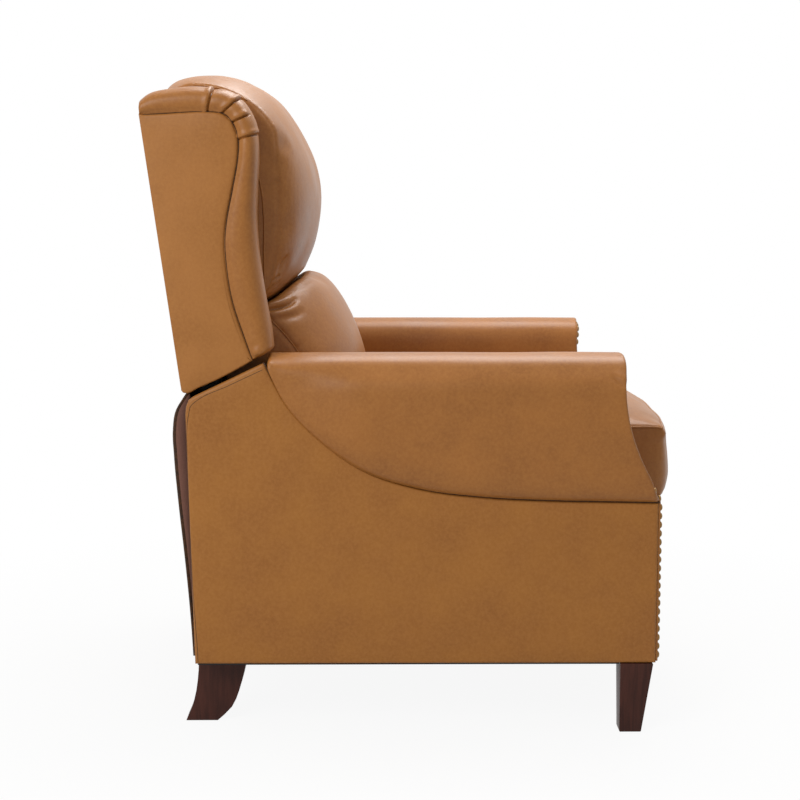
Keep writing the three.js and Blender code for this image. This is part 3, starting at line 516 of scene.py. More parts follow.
def per_metre(size):
    """A texture's scale from the size of its pattern."""
    return 1 / (size * MM)


def times(colour, share):
    """A darker colour."""
    return tuple(c * share for c in colour)


def blend_colours(tree, factor, low, high, amount=1.0):
    """A mix of two colours, or of a colour and another node's, driven by a texture."""
    mix = add_node(tree, "ShaderNodeMix", data_type="RGBA")
    for socket, value in ((6, low), (7, high)):
        if isinstance(value[0], bpy.types.Node):
            tree.links.new(value[0].outputs[value[1]], mix.inputs[socket])
        else:
            mix.inputs[socket].default_value = (*value[:3], 1)
    scaled = add_node(tree, "ShaderNodeMath", values={1: amount}, links={0: factor}, operation="MULTIPLY")
    tree.links.new(scaled.outputs[0], mix.inputs[0])
    return mix, 2


def finish(tree, shader, tone, reliefs, sockets):
    """Joins a colour and its reliefs to a shader and sets the shader's constants. A relief is a
    texture with its strength and its depth in metres, the finest first."""
    tree.links.new(tone[0].outputs[tone[1]], shader.inputs["Base Color"])
    below = {}
    for texture, strength, depth in reliefs:
        bump = add_node(tree, "ShaderNodeBump", values={"Strength": strength, "Distance": depth},
                        links={"Height": (texture, 0), **below})
        below = {"Normal": (bump, 0)}
    tree.links.new(bump.outputs[0], shader.inputs["Normal"])
    for socket, value in sockets.items():
        shader.inputs[socket].default_value = value


def uneven_gloss(tree, shader, texture, low, high):
    """Lets a texture vary the shader's roughness from low to high."""
    gloss = add_node(tree, "ShaderNodeMapRange", values={1: 0.3, 2: 0.7, 3: low, 4: high},
                     links={0: (texture, 0)})
    tree.links.new(gloss.outputs[0], shader.inputs["Roughness"])


def leather_material(name, tone, shade, light, mottling, roughness, grain, seed):
    """Aniline-dyed cowhide with a thin clear finish. The dye soaks in unevenly, so the hide shows
    soft clouds a hand across with finer flecks in them, and a pebble grain breaks up its sheen."""
    material, tree, shader, at = new_material(name)
    place = add_node(tree, "ShaderNodeMapping", values={"Location": (seed, seed, seed)}, links=at)
    here = {"Vector": (place, 0)}
    clouds = add_node(tree, "ShaderNodeTexNoise", links=here,
                      values={"Scale": per_metre(85), "Detail": 4.0, "Roughness": 0.6})
    cloud_range = add_node(tree, "ShaderNodeMapRange", values={1: 0.34, 2: 0.66}, links={0: (clouds, 0)})
    flecks = add_node(tree, "ShaderNodeTexNoise", links=here,
                      values={"Scale": per_metre(5), "Detail": 3.0, "Roughness": 0.65})
    fleck_range = add_node(tree, "ShaderNodeMapRange", values={1: 0.36, 2: 0.68}, links={0: (flecks, 0)})
    base = blend_colours(tree, (cloud_range, 0), shade, tone)
    lit = blend_colours(tree, (fleck_range, 0), base, light, mottling)
    # Painted shade: the colour darkens in the creases, where less light reaches them.
    shape = add_node(tree, "ShaderNodeNewGeometry")
    crease_shade_mask = add_node(tree, "ShaderNodeMapRange", values={1: 0.47, 2: 0.42, 3: 0.0, 4: 0.55},
                    links={0: (shape, "Pointiness")})
    tone_with_crease_shade = blend_colours(tree, (crease_shade_mask, 0), lit, times(shade, 0.35))
    # The real pebble is under a millimetre; it is drawn about 2 mm across so that it shows.
    pebble = add_node(tree, "ShaderNodeTexVoronoi", values={"Scale": per_metre(grain)}, links=here,
                      feature="SMOOTH_F1")
    ripple = add_node(tree, "ShaderNodeTexNoise", values={"Scale": per_metre(22), "Detail": 2.0}, links=here)
    uneven_gloss(tree, shader, clouds, roughness - 0.05, roughness + 0.07)
    finish(tree, shader, tone_with_crease_shade, [(pebble, 0.16, 0.0004), (ripple, 0.12, 0.003)],
           {"IOR": 1.46, "Specular IOR Level": 0.31, "Coat Weight": 0.06, "Coat Roughness": 0.3})
    return material


def lining_material(name, colour):
    """The hide's flesh side: brushed and matt, with a faint violet cast from the tanning."""
    material, tree, shader, at = new_material(name)
    nap = add_node(tree, "ShaderNodeTexNoise", values={"Scale": per_metre(3), "Detail": 4.0}, links=at)
    finish(tree, shader, blend_colours(tree, (nap, 0), times(colour, 0.7), colour), [(nap, 0.3, 0.0006)],
           {"Roughness": 0.85, "Sheen Weight": 0.2})
    return material


def wood_material(name, dark, light, ring, roughness, coat):
    """Planed hardwood: long wavy grain lines with fine pores along them."""
    material, tree, shader, at = new_material(name)
    stretched = add_node(tree, "ShaderNodeMapping", values={"Scale": (1.0, 1.0, 0.12)}, links=at)
    here = {"Vector": (stretched, 0)}
    grain = add_node(tree, "ShaderNodeTexNoise", links=here,
                     values={"Scale": per_metre(ring), "Detail": 5.0, "Distortion": 0.6})
    pores = add_node(tree, "ShaderNodeTexNoise", values={"Scale": per_metre(1.6), "Detail": 2.0}, links=here)
    spread = add_node(tree, "ShaderNodeMapRange", values={1: 0.35, 2: 0.65}, links={0: (grain, 0)})
    finish(tree, shader, blend_colours(tree, (spread, 0), dark, light), [(pores, 0.12, 0.0004)],
           {"Roughness": roughness, "Specular IOR Level": 0.18, "Coat Weight": coat, "Coat Roughness": 0.3})
    return material


def metal_material(name, colour, metallic, roughness, speck):
    """Metal with a faint cast texture in its finish."""
    material, tree, shader, at = new_material(name)
    texture = add_node(tree, "ShaderNodeTexNoise", links=at,
                       values={"Scale": per_metre(speck), "Detail": 3.0})
    uneven_gloss(tree, shader, texture, roughness - 0.06, roughness + 0.08)
    finish(tree, shader, blend_colours(tree, (texture, 0), times(colour, 0.75), colour),
           [(texture, 0.1, 0.0003)], {"Metallic": metallic})
    return material


def cloth_material(name):
    """Spun-bonded polypropylene: flat black with a fine embossed diamond."""
    material, tree, shader, at = new_material(name)
    weave = add_node(tree, "ShaderNodeTexVoronoi", values={"Scale": per_metre(3)}, links=at)
    finish(tree, shader, blend_colours(tree, (weave, 0), linear("#161617"), linear("#262628")),
           [(weave, 0.3, 0.0004)], {"Roughness": 0.9})
    return material


def white_to_camera(tree, pale, white):
    """Shows `white` to camera, glossy and transmission rays, and `pale` to the light that falls on
    the chair. Returns the mix and the share of white."""
    rays = add_node(tree, "ShaderNodeLightPath")
    seen = add_node(tree, "ShaderNodeMath", links={0: (rays, "Is Camera Ray"), 1: (rays, "Is Glossy Ray")},
                    operation="MAXIMUM")
    shown = add_node(tree, "ShaderNodeMath", links={0: (seen, 0), 1: (rays, "Is Transmission Ray")},
                     operation="MAXIMUM")
    return add_node(tree, "ShaderNodeMixShader", links={0: (shown, 0), 1: pale, 2: white}), shown


def paper_material(colour):
    """The studio's paper sweep. The camera sees it white but for a soft shade under the chair, and
    it still takes the chair's shadow."""
    material, tree, shader, at = new_material("studio paper")
    glow = add_node(tree, "ShaderNodeEmission", values={"Color": (1, 1, 1, 1), "Strength": 1.0})
    mix, shown = white_to_camera(tree, (shader, 0), (glow, 0))
    away = add_node(tree, "ShaderNodeVectorMath", links=at, operation="LENGTH")
    share = add_node(tree, "ShaderNodeMapRange", values={1: 0.4, 2: 1.3, 3: 0.92, 4: 1.0},
                     links={0: (away, "Value")})
    part = add_node(tree, "ShaderNodeMath", links={0: (shown, 0), 1: (share, 0)}, operation="MULTIPLY")
    tree.links.new(part.outputs[0], mix.inputs[0])
    output = next(n for n in tree.nodes if n.bl_idname == "ShaderNodeOutputMaterial")
    tree.links.new(mix.outputs[0], output.inputs["Surface"])
    fibres = add_node(tree, "ShaderNodeTexNoise", values={"Scale": per_metre(4)})
    bump = add_node(tree, "ShaderNodeBump", values={"Strength": 0.02}, links={"Height": (fibres, 0)})
    tree.links.new(bump.outputs[0], shader.inputs["Normal"])
    for socket, value in {"Base Color": (*colour, 1), "Roughness": 0.95, "Specular IOR Level": 0.1}.items():
        shader.inputs[socket].default_value = value
    return material


# Settings

def colour_setting(name, description, default):
    """A colour, given here as sRGB hex."""
    return bpy.props.FloatVectorProperty(name=name, description=description, subtype="COLOR", size=3,
                                         min=0, max=1, default=linear(default))


def length_setting(name, description, default):
    """A length in metres, given here in millimetres."""
    return bpy.props.FloatProperty(name=name, description=description, default=default * MM, min=0,
                                   subtype="DISTANCE", unit="LENGTH", precision=4)


def share_setting(name, description, default):
    """A share from 0 to 1."""
    return bpy.props.FloatProperty(name=name, description=description, default=default, min=0, max=1,
                                   subtype="FACTOR")


def power_setting(name, description, default):
    """A lamp's power in watts."""
    return bpy.props.FloatProperty(name=name, description=description, default=default, min=0,
                                   subtype="POWER", unit="POWER")


class LeatherSettings(bpy.types.PropertyGroup):
    """The hide and how it is sewn."""

    tone: colour_setting("Tone", "The hide's main colour", "#98612b")
    shade: colour_setting("Shade", "The darker clouds of the dye", "#8a5625")
    light: colour_setting("Light", "The lighter flecks of the dye", "#a87137")
    # Painted light: the wing panels get a lighter copy of the leather, for the brighter light that falls on
    # them.
    wing_tone_painted_lighter: colour_setting("Wing tone", "Main colour of the wing panels, a lighter cut", "#9f6831")
    wing_shade_painted_lighter: colour_setting("Wing shade", "Darker clouds of the wing panels", "#945f2a")
    side_tone: colour_setting("Side tone", "Main colour of the flatter, more matt side panels", "#986227")
    side_shade: colour_setting("Side shade", "Darker clouds of the side panels", "#8e5923")
    # The stitching's colour. It is made near-black as painted shade too, since the cords sunk in the wing and
    # arm seams stand for the shade in their crevices.
    thread: colour_setting("Thread", "Sewing thread in the seams", "#2a180d")
    lining: colour_setting("Lining", "The hide's flesh side", "#84594a")
    mottling: share_setting("Mottling", "How strongly the lighter flecks show", 0.42)
    roughness: share_setting("Roughness", "Roughness of the clear finish", 0.4)
    grain: length_setting("Grain", "Size of the pebble grain as drawn", 2.0)
    welt: length_setting("Welt", "Radius of a sewn welt", 1.5)
    pleat_depth: share_setting("Pleat depth", "How deep the pleats of the wing roll are cut", 0.2)


class HardwareSettings(bpy.types.PropertyGroup):
    """The show wood and the metal."""

    stain: colour_setting("Stain", "Dark stain of the legs", "#45231a")
    stain_shade: colour_setting("Stain shade", "Darker grain of the legs", "#33170f")
    # Painted shade: the frame wood is made near-black so that the gaps it shows through read as dark cavities.
    timber: colour_setting("Timber", "Dipped frame wood", "#4a382a")
    timber_shade: colour_setting("Timber shade", "Grain lines of the frame wood", "#35271d")
    steel: colour_setting("Steel", "Powder coat of the mechanism", "#242527")
    brass: colour_setting("Brass", "Antiqued brass of the nail heads", "#8f6d3f")
    nail_radius: length_setting("Nail radius", "Radius of a nail head", 5.8)
    nail_height: length_setting("Nail height", "Height of a nail head's dome", 3.4)
    nail_pitch: length_setting("Nail pitch", "Distance from nail to nail", 13.9)
    leg_chamfer: length_setting("Leg chamfer", "Eased edge of the legs", 1.8)


class StageSettings(bpy.types.PropertyGroup):
    """The studio."""

    paper: colour_setting("Paper", "Colour of the floor", "#cfcecb")
    world: bpy.props.FloatProperty(name="World", description="Strength of the even light", default=0.42,
                                   min=0, subtype="FACTOR", soft_max=1)
    key: power_setting("Key", "Power of the large lamp overhead", 50)
    side: power_setting("Side", "Power of the lamp at the rear of the camera's side", 60)
    lens: bpy.props.FloatProperty(name="Lens", description="Focal length on a 36 mm sensor", default=75.24,
                                  min=10, subtype="DISTANCE_CAMERA", unit="CAMERA")


def made(kind):
    """The material of that kind, made once from the settings."""
    hide, parts = bpy.context.scene.recliner_leather, bpy.context.scene.recliner_hardware

    def leather(tone, shade, duller, seed):
        return leather_material, (tone, shade, hide.light, hide.mottling, hide.roughness + duller,
                                  hide.grain / MM, seed)

    # For wood: dark, light, ring, roughness, coat. For metal: colour, metallic, roughness, speck.
    name, (maker, values) = {
        "body": ("saddle-tan aniline leather", leather(hide.tone, hide.shade, 0, 3.1)),
        "side": ("saddle-tan leather, drawn tight", leather(hide.side_tone, hide.side_shade, 0.1, 7.7)),
        # Painted light: a lighter copy of the same leather for the wing panels, which catch more light.
        "wing": ("saddle-tan leather, light cut", leather(hide.wing_tone_painted_lighter, hide.wing_shade_painted_lighter, 0.06, 5.2)),
        # Painted shade: this near-black stitching also colours the cords that stand for the shade in the
        # crevices of the wing and arm seams.
        "thread": ("bonded polyester thread", (leather_material, (
            hide.thread, times(hide.thread, 0.7), hide.tone, 0.2, 0.6, 1.0, 1.3))),
        "lining": ("split leather lining", (lining_material, (hide.lining,))),
        "leg": ("walnut-stained beech", (wood_material, (parts.stain_shade, parts.stain, 9, 0.4, 0.04))),
        # Painted shade: the dark frame wood stands for the shade of the cavities where it shows.
        "timber": ("dark-dipped poplar", (wood_material, (parts.timber_shade, parts.timber, 14, 0.75, 0.0))),
        "steel": ("powder-coated steel", (metal_material, (parts.steel, 0.35, 0.5, 1.2))),
        "brass": ("antiqued brass", (metal_material, (parts.brass, 1.0, 0.38, 5))),
        "wire": ("oiled spring steel", (metal_material, (linear("#54565a"), 0.9, 0.4, 1.5))),
        "cloth": ("non-woven dust cloth", (cloth_material, ())),
    }[kind]
    return bpy.data.materials.get(name) or maker(name, *values)


class ReclinerOperator:
    """What the chair's operators share."""

    bl_options = {"REGISTER", "UNDO"}

    def execute(self, context):
        self.build(context)
        return {"FINISHED"}


# Wings

# Along the wing roll: the seam on the wing's outer side and the roll's crest, each as
# (forward, up), from the rear of the top to the lower front.
ROLL_LINES = [
    (3, 437, 1, 457), (25, 435, 20, 468), (60, 432, 60, 471), (90, 429, 98, 468), (108, 426, 122, 462),
    (120, 424, 143, 455), (130, 421, 161, 441), (138, 414, 169, 427), (143, 405, 174, 414),
    (147, 392, 178, 398), (148, 378, 178, 382), (144, 354, 174, 350), (127, 304, 165, 305),
    (110, 257, 156, 257), (102, 224, 152, 220), (98, 176, 150, 181), (100, 120, 150, 118),
    (107, 79, 151, 78), (115, 36, 149, 40),
]
ROLL_CORNER = (135, 412)

# Pleats round the top corner, by their place on the seam, and how far across the roll each runs.
ROLL_PLEATS = [((108, 426), 1.0), ((130, 421), 1.0), ((143, 405), 0.45), ((148, 378), 0.9)]

# Gathers at the roll's foot: points as (across, forward, up), then depth and reach.
ROLL_FOOT_FOLDS = [
    ([(368, 113, 38), (368, 123, 42), (363, 134, 48)], 2.4, 4.0),
    ([(368, 110, 52), (368, 121, 58), (364, 132, 64)], 1.3, 4.5),
]

WING_OUTER, WING_INNER = 368, 278


def rounded_end(share, least):
    """The height of a rounded end at a share of its length."""
    return math.sqrt(max(1 - (1 - min(share, 1)) ** 2, least))


def pleat(away, turn, reach):
    """How deep a pleat cuts in, `away` from its mark: a sharp fold between two soft slopes, which
    runs out across the roll at its reach."""
    fold = 0.9 * math.exp(-((away / 1.3) ** 2)) - 0.28 * math.exp(-(((away + 5) / 4) ** 2))
    if away > 0:
        fold += 0.4 * math.exp(-away / 9)
    return fold * float(1 - ramp(turn, math.pi * 0.5 * reach, math.pi * 0.62 * reach + 0.3))


def wing_roll(material, pleat_depth):
    """The padded roll round the wing's edge, with pleats at its top corner."""
    line = smooth(ROLL_LINES, 1600)
    sections, around = 420, 37
    # The sections stand closest together round the corner, where the pleats are.
    corner_reach, closer = 55, 5
    corner = np.exp(-((np.linalg.norm(line[:, :2] - ROLL_CORNER, axis=1) / corner_reach) ** 2))
    dense = np.cumsum(1 + closer * corner)
    picks = np.interp(np.linspace(dense[0], dense[-1], sections), dense, np.arange(len(line)))
    stations = np.stack([np.interp(picks, np.arange(len(line)), line[:, k]) for k in range(4)], axis=1)
    seam, crest = stations[:, :2], stations[:, 2:]
    seam_along, crest_along = lengths(seam), lengths(crest)
    marks = [(int(np.argmin(np.linalg.norm(seam - place, axis=1))), reach) for place, reach in ROLL_PLEATS]
    middle, half = (WING_OUTER + WING_INNER) / 2, (WING_OUTER - WING_INNER) / 2 + 1
    sunk = 6
    rings = []
    for i, (base, tip) in enumerate(zip(seam, crest)):
        high = np.linalg.norm(tip - base)
        out = (tip - base) / high
        end = min(rounded_end(crest_along[i] / 7, 0.02),
                  rounded_end((crest_along[-1] - crest_along[i]) / 11, 0.03))
        ring = []
        for turn in np.linspace(0, math.pi, around):
            up, over = math.sin(turn), math.cos(turn)
            cut = 0
            for mark, reach in marks:
                away = ((crest_along[i] - crest_along[mark]) * up
                        + (seam_along[i] - seam_along[mark]) * (1 - up))
                cut += pleat(away, turn, reach)
            rise = high * max(up, 0) ** 0.72 * (1 - pleat_depth * cut)
            swell = 1 + 0.07 * up**0.5 - 0.1 * math.exp(-((rise / 4) ** 2)) - 0.55 * pleat_depth * cut
            across = half * swell * math.copysign(abs(over) ** 0.88, over) + 10 * up
            ring.append((middle + across * (0.8 + 0.2 * end), *(base + out * ((rise + sunk) * end - sunk))))
        ring += [(x, *(base - out * 2 * sunk)) for x in (WING_INNER + 4, WING_OUTER - 4)]
        rings.append(ring)
    p = np.array(rings)
    p[..., 0] += drift(p, 70, 2.0) * 0.96
    return new_piece("wing_roll_leather_left", *skin(back_place(p[..., 0], p[..., 1], p[..., 2])), material)


def wing_panel(material):
    """The wing's flat cover, inside and outside, up to the roll's seam."""
    seam = [(116, 36), (107, 79), (100, 120), (98, 176), (102, 224), (110, 257), (127, 304), (144, 354),
            (148, 382), (143, 406)]
    top = [(5, 438), (40, 434), (75, 431), (108, 427), (130, 420), (143, 406)]
    bottom = [(-3.5, 9), (-2, 2.5), (5, 0), (22, 5), (55, 14), (90, 26), (116, 36)]
    sides = (smooth(bottom, 60), smooth(seam, 130), smooth(top, 60), even([(-3.5, 9), (3, 438)], 130))

    def place(forward, up, out):
        behind = 9 - 16 * ramp(out, 78, 86)
        return back_place(WING_INNER + out, np.maximum(forward, behind), up)

    board = padded_board(sides, depth=WING_OUTER - WING_INNER, edge=7, crown=2.2, spread=20, place=place,
                         lumps=0.6, seed=4.0, softness=(0.5, 1.0, 0.8, 0.35))
    return new_piece("wing_panel_leather_left", *board, material)


class RECLINER_OT_wings(ReclinerOperator, bpy.types.Operator):
    """Sews the wing panels and the pleated rolls round them"""

    bl_idname = "recliner.wings"
    bl_label = "Wings"

    def build(self, context):
        roll = wing_roll(made("body"), context.scene.recliner_leather.pleat_depth)
        for path, depth, reach in ROLL_FOOT_FOLDS:
            crease(roll, back_place(*np.array(path, float).T), depth, reach)
        panel = wing_panel(made("wing"))
        # Painted shade: a dark cord sunk in the seam between panel and roll stands for the shade in the seam's
        # crevice.
        line = smooth(ROLL_LINES, 300)[:, :2]
        stitched = back_place(np.full(len(line), WING_OUTER - 2.4), line[:, 0], line[:, 1])
        seam = new_piece("wing_seam_left", *tube(stitched, 0.6), made("thread"))
        for side in SIDES:
            dress(on_side(roll, side), "back", [f"wing_roll_{side}"], "upholstery", 0.8)
            dress(on_side(panel, side), "back", [f"wing_cover_{side}"], "upholstery", 0.5)
            dress(on_side(seam, side), "back", [], "upholstery")


# Pillows

# Each row: forward and up at the middle, forward and up at the side seam, and how square and how
# round the crown runs out between them. From the lower rear, forward, up and over to the rear.
HEAD_ROWS = [
    (52, 112, 52, 120, 3.0, 1.3), (100, 104, 92, 117, 3.0, 1.3), (140, 101, 120, 117, 3.0, 1.3),
    (166, 112, 141, 127, 2.8, 1.4), (183, 131, 154, 142, 2.6, 1.6), (204, 162, 166, 170, 2.4, 1.8),
    (224, 195, 178, 200, 2.3, 1.9), (236, 229, 186, 232, 2.3, 1.9), (244, 263, 192, 264, 2.3, 1.9),
    (246, 299, 196, 298, 2.3, 1.9), (242, 334, 200, 328, 2.4, 1.8), (232, 371, 204, 357, 2.6, 1.5),
    (218, 408, 204, 386, 2.8, 1.3), (198, 446, 188, 420, 2.8, 1.2), (182, 466, 170, 440, 2.8, 1.15),
    (155, 488, 144, 458, 2.8, 1.15), (122, 499, 117, 471, 2.8, 1.15), (95, 503, 95, 478, 2.8, 1.15),
    (62, 504, 64, 479, 2.8, 1.15), (42, 500, 46, 474, 2.8, 1.2), (28, 491, 33, 466, 2.8, 1.3),
    (19, 476, 22, 456, 2.8, 1.4), (16, 455, 16, 444, 2.8, 1.4), (18, 433, 18, 432, 3.0, 1.4),
    (34, 431, 34, 431, 3.0, 1.4), (51, 430, 51, 430, 3.0, 1.4),
]
LUMBAR_ROWS = [
    (52, -86, 52, -84, 3.0, 1.3), (110, -94, 104, -90, 3.0, 1.3), (180, -96, 150, -90, 3.0, 1.4),
    (236, -90, 184, -84, 2.8, 1.5), (266, -74, 196, -66, 2.6, 1.7), (281, -48, 199, -40, 2.4, 1.8),
    (285, -18, 197, -12, 2.3, 1.8), (278, 25, 186, 24, 2.3, 1.8), (266, 63, 170, 56, 2.3, 1.7),
    (249, 102, 150, 86, 2.4, 1.6), (237, 121, 141, 100, 2.5, 1.5), (219, 138, 136, 108, 2.6, 1.4),
    (195, 143, 128, 112, 2.6, 1.3), (170, 118, 118, 112, 2.6, 1.3), (140, 102, 104, 108, 3.0, 1.3),
    (96, 98, 84, 104, 3.0, 1.3), (52, 98, 52, 104, 3.0, 1.3),
]

# Folds that the stuffing leaves in the covers, drawn on one side: points as (across, forward, up),
# then depth and reach.
HEAD_FOLDS = [
    ([(276, 96, 470), (277, 118, 462), (277, 140, 448), (277, 160, 432), (277, 176, 417)], 4.4, 5.5),
    ([(272, 166, 302), (274, 182, 304), (270, 200, 312)], 2.0, 4.5),
    ([(258, 214, 172), (266, 196, 166), (270, 172, 150)], 1.8, 5),
    ([(262, 190, 148), (268, 174, 146), (272, 156, 140)], 2.4, 4),
    ([(250, 186, 134), (262, 168, 132), (270, 150, 132)], 2.2, 4),
]
LUMBAR_FOLDS = [
    ([(258, 122, 104), (256, 144, 105), (248, 168, 108), (238, 190, 116), (222, 208, 130)], 7.0, 5.5),
    ([(257, 140, 88), (252, 168, 86), (242, 196, 92), (228, 220, 104)], 2.0, 8),
    ([(190, 200, 138), (150, 214, 138), (100, 224, 136)], 1.4, 7),
]

# The seam across the head pillow's boxing, as (forward, up), and how far out it lies.
HEAD_SIDE_SEAM = [(163, 330), (163, 280), (160, 248), (154, 209), (148, 169), (144, 134)]
HEAD_SIDE = 274.0

# The same kind of rows for the seat, but in the chair's own y and z.
SEAT_ROWS = [
    (198, 394, 194, 398, 3.0, 1.3), (60, 391.4, 60, 392, 3.0, 1.3), (-180, 391.4, -180, 392, 3.0, 1.3),
    (-338, 391.4, -326, 392, 3.0, 1.3), (-346, 374, -336, 374, 2.6, 1.3), (-366, 361, -356, 364, 2.4, 1.2),
    (-394, 359, -380, 362, 2.2, 1.1), (-427, 369, -406, 369, 2.0, 1.0), (-437.5, 390, -410.5, 388, 2.0, 1.0),
    (-433.5, 420, -411, 416, 2.0, 1.0), (-434.5, 443, -411, 446, 2.0, 1.0),
    (-434.5, 461, -410, 468, 2.0, 1.0), (-425.5, 477, -406, 477.5, 2.1, 1.05),
    (-403, 490, -386, 480, 2.3, 1.1), (-365, 505, -350, 480, 2.5, 1.2),
    (-290, 518, -285, 480, 2.8, 1.3), (-180, 524, -180, 481, 2.8, 1.3), (-60, 520, -60, 481, 2.8, 1.3),
    (60, 511, 60, 480, 2.8, 1.3), (140, 501, 138, 477, 2.8, 1.3), (180, 488, 176, 468, 2.8, 1.3),
    (196, 462, 192, 448, 3.0, 1.3), (199, 425, 195, 424, 3.0, 1.3),
]


def crowned_cushion(name, rows, half, place, bulge, lumps, seed, room):
    """A boxed cushion: its outline at the middle runs out to the side seam's outline along a
    rounded crown, and the boxing between seam and centre bulges a little. `room` is left all
    round for the filling to swell into."""
    table = np.array(smooth(rows, 132))
    for first in (0, 2):
        ring = table[:, first:first + 2]
        ahead = unit(np.roll(ring, -2, axis=0) - np.roll(ring, 2, axis=0))
        table[:, first] -= ahead[:, 1] * room
        table[:, first + 1] += ahead[:, 0] * room
    middle, side, square, roundness = table[:, :2], table[:, 2:4], table[:, 4], table[:, 5]
    core = side.mean(axis=0)
    rings = []
    for share in np.sin(np.linspace(0, 1, 27) * math.pi / 2):
        carry = (1 - share**square) ** (1 / roundness)
        rings.append((side + (middle - side) * carry[:, None], share * half))
    for shrink in (0.985, 0.95, 0.88, 0.78, 0.64, 0.46, 0.26, 0.1):
        rings.append((core + (side - core) * shrink, half + bulge * (1 - shrink**6)))
    rings = [(ring, -x) for ring, x in rings[:0:-1]] + rings
    p = np.array([np.column_stack([np.full(len(ring), x), ring]) for ring, x in rings])
    away = p - np.array([0, *core])
    away[..., 0] = 0
    away /= np.maximum(np.linalg.norm(away, axis=-1), 1)[..., None]
    p = p + away * (drift(p, 110, seed) * lumps)[..., None]
    world = place(p[..., 0], p[..., 1], p[..., 2])
    seams = [place(np.full(len(side), sign * half), side[:, 0], side[:, 1]) for sign in (-1, 1)]
    return new_piece(name, *skin(world), made("body")), seams, world


def held_behind(forward_limit):
    """Picks the places of a back pillow that lie against the frame."""
    cos, sin = math.cos(BACK_LEAN), math.sin(BACK_LEAN)

    def test(places):
        forward = -((places[:, 1] - BACK_FOOT_Y) * cos - (places[:, 2] - BACK_FOOT_Z) * sin)
        return forward < forward_limit

    return test


class RECLINER_OT_pillows(ReclinerOperator, bpy.types.Operator):
    """Makes the head and lumbar pillows of the back"""

    bl_idname = "recliner.pillows"
    bl_label = "Back pillows"

    def build(self, context):
        welt = context.scene.recliner_leather.welt / MM
        head, head_seams, _ = crowned_cushion("head_pillow_leather", HEAD_ROWS, half=272, place=back_place,
                                              bulge=3, lumps=3.0, seed=9.0, room=4)
        lumbar, lumbar_seams, _ = crowned_cushion("lumbar_pillow_leather", LUMBAR_ROWS, half=256,
                                                  place=back_place, bulge=2, lumps=3.0, seed=5.0, room=4)
        for pillow in (head, lumbar):
            fill_with_fibre(pillow, voxel=5, cap=6, held=held_behind(60))
        press_apart(head, lumbar, 2.2, 6)
        press_apart(lumbar, head, 3.5, 6)
        pull_in(head, head_seams, 2.4, 5)
        for seam in head_seams:
            seam_puckers(head, seam[76:108], reach=16, height=0.4, pitch=13, seed=1.7)
        pull_in(lumbar, lumbar_seams, 2.2, 5)
        for seam in lumbar_seams:
            seam_puckers(lumbar, seam[50:], reach=26, height=0.7, pitch=23, seed=4.2)
        for number, sign in enumerate((-1, 1)):
            self.folds(head, HEAD_FOLDS, sign)
            add_seam(head, f"head_pillow_welt_{number}", head_seams[number][87:114], welt, made("body"))
            strip = smooth(HEAD_SIDE_SEAM, 80)
            line = back_place(np.full(len(strip), HEAD_SIDE * sign), strip[:, 0], strip[:, 1])
            add_seam(head, f"head_pillow_side_seam_{number}", line, welt, made("body"))
        for number, sign in enumerate((-1, 1)):
            self.folds(lumbar, LUMBAR_FOLDS, sign)
            add_seam(lumbar, f"lumbar_pillow_welt_{number}", lumbar_seams[number][40:104], welt * 0.8,
                     made("body"))
        dress(head, "back", ["head_pillow"], "upholstery", 0.75)
        dress(lumbar, "back", ["lumbar_pillow"], "upholstery", 0.75)

    def folds(self, pillow, folds, sign):
        """Creases one side of a pillow."""
        for path, depth, reach in folds:
            across, forward, up = np.array(path, float).T
            crease(pillow, back_place(across * sign, forward, up), depth, reach)


def round_front_corners(piece, half, front, radius, low, high):
    """Rounds the upright front corners of a boxed cushion, and leaves its seam above `high` sharp."""
    places = coordinates(piece.data) / MM
    across = (np.abs(places[:, 0]) - (half - radius)) / radius
    ahead = ((front + radius) - places[:, 1]) / radius
    near = np.nonzero((across > 0) & (ahead > 0))[0]
    across, ahead = np.minimum(across[near], 1.1), np.minimum(ahead[near], 1.1)
    share = ramp(places[near, 2], low - 8, low) * (1 - ramp(places[near, 2], high, high + 14))
    sign = np.sign(places[near, 0])
    round_x = half - radius + radius * across * np.sqrt(1 - ahead**2 / 2)
    round_y = front + radius - radius * ahead * np.sqrt(1 - across**2 / 2)
    places[near, 0] += (round_x * sign - places[near, 0]) * share
    places[near, 1] += (round_y - places[near, 1]) * share
    set_coordinates(piece.data, places * MM)


class RECLINER_OT_seat(ReclinerOperator, bpy.types.Operator):
    """Makes the boxed seat cushion"""

    bl_idname = "recliner.seat"
    bl_label = "Seat cushion"

    def build(self, context):
        cushion, seams, rings = crowned_cushion("seat_cushion_leather", SEAT_ROWS, half=261, place=chair_place,
                                                bulge=2, lumps=2.0, seed=2.0, room=2)
        round_front_corners(cushion, half=263, front=-413, radius=34, low=372, high=452)
        fill_with_fibre(cushion, voxel=6, cap=3.5,
                        held=lambda p: (p[:, 2] < 396) & ((p[:, 1] > -400) | (p[:, 2] < 366)))
        upper_edge = (-402, 478)
        row = int(np.argmin(np.linalg.norm(seams[0][:, 1:] - upper_edge, axis=1)))
        welt = context.scene.recliner_leather.welt / MM * 1.3
        pull_in(cushion, [seam[row:] for seam in seams], 1.8, 5)
        for number, seam in enumerate(seams):
            seam_puckers(cushion, seam[50:118], reach=22, height=0.7, pitch=21, seed=6.0)
            add_seam(cushion, f"seat_cushion_welt_{number}", seam[row:128], welt, made("body"))
        front = rings[8:-8, row]
        pull_in(cushion, [front], 1.6, 5)
        add_seam(cushion, "seat_cushion_front_welt", front, welt, made("body"), count=260)
        dress(cushion, "seat", ["seat_cushion"], "upholstery", 0.85)


# Arms and sides

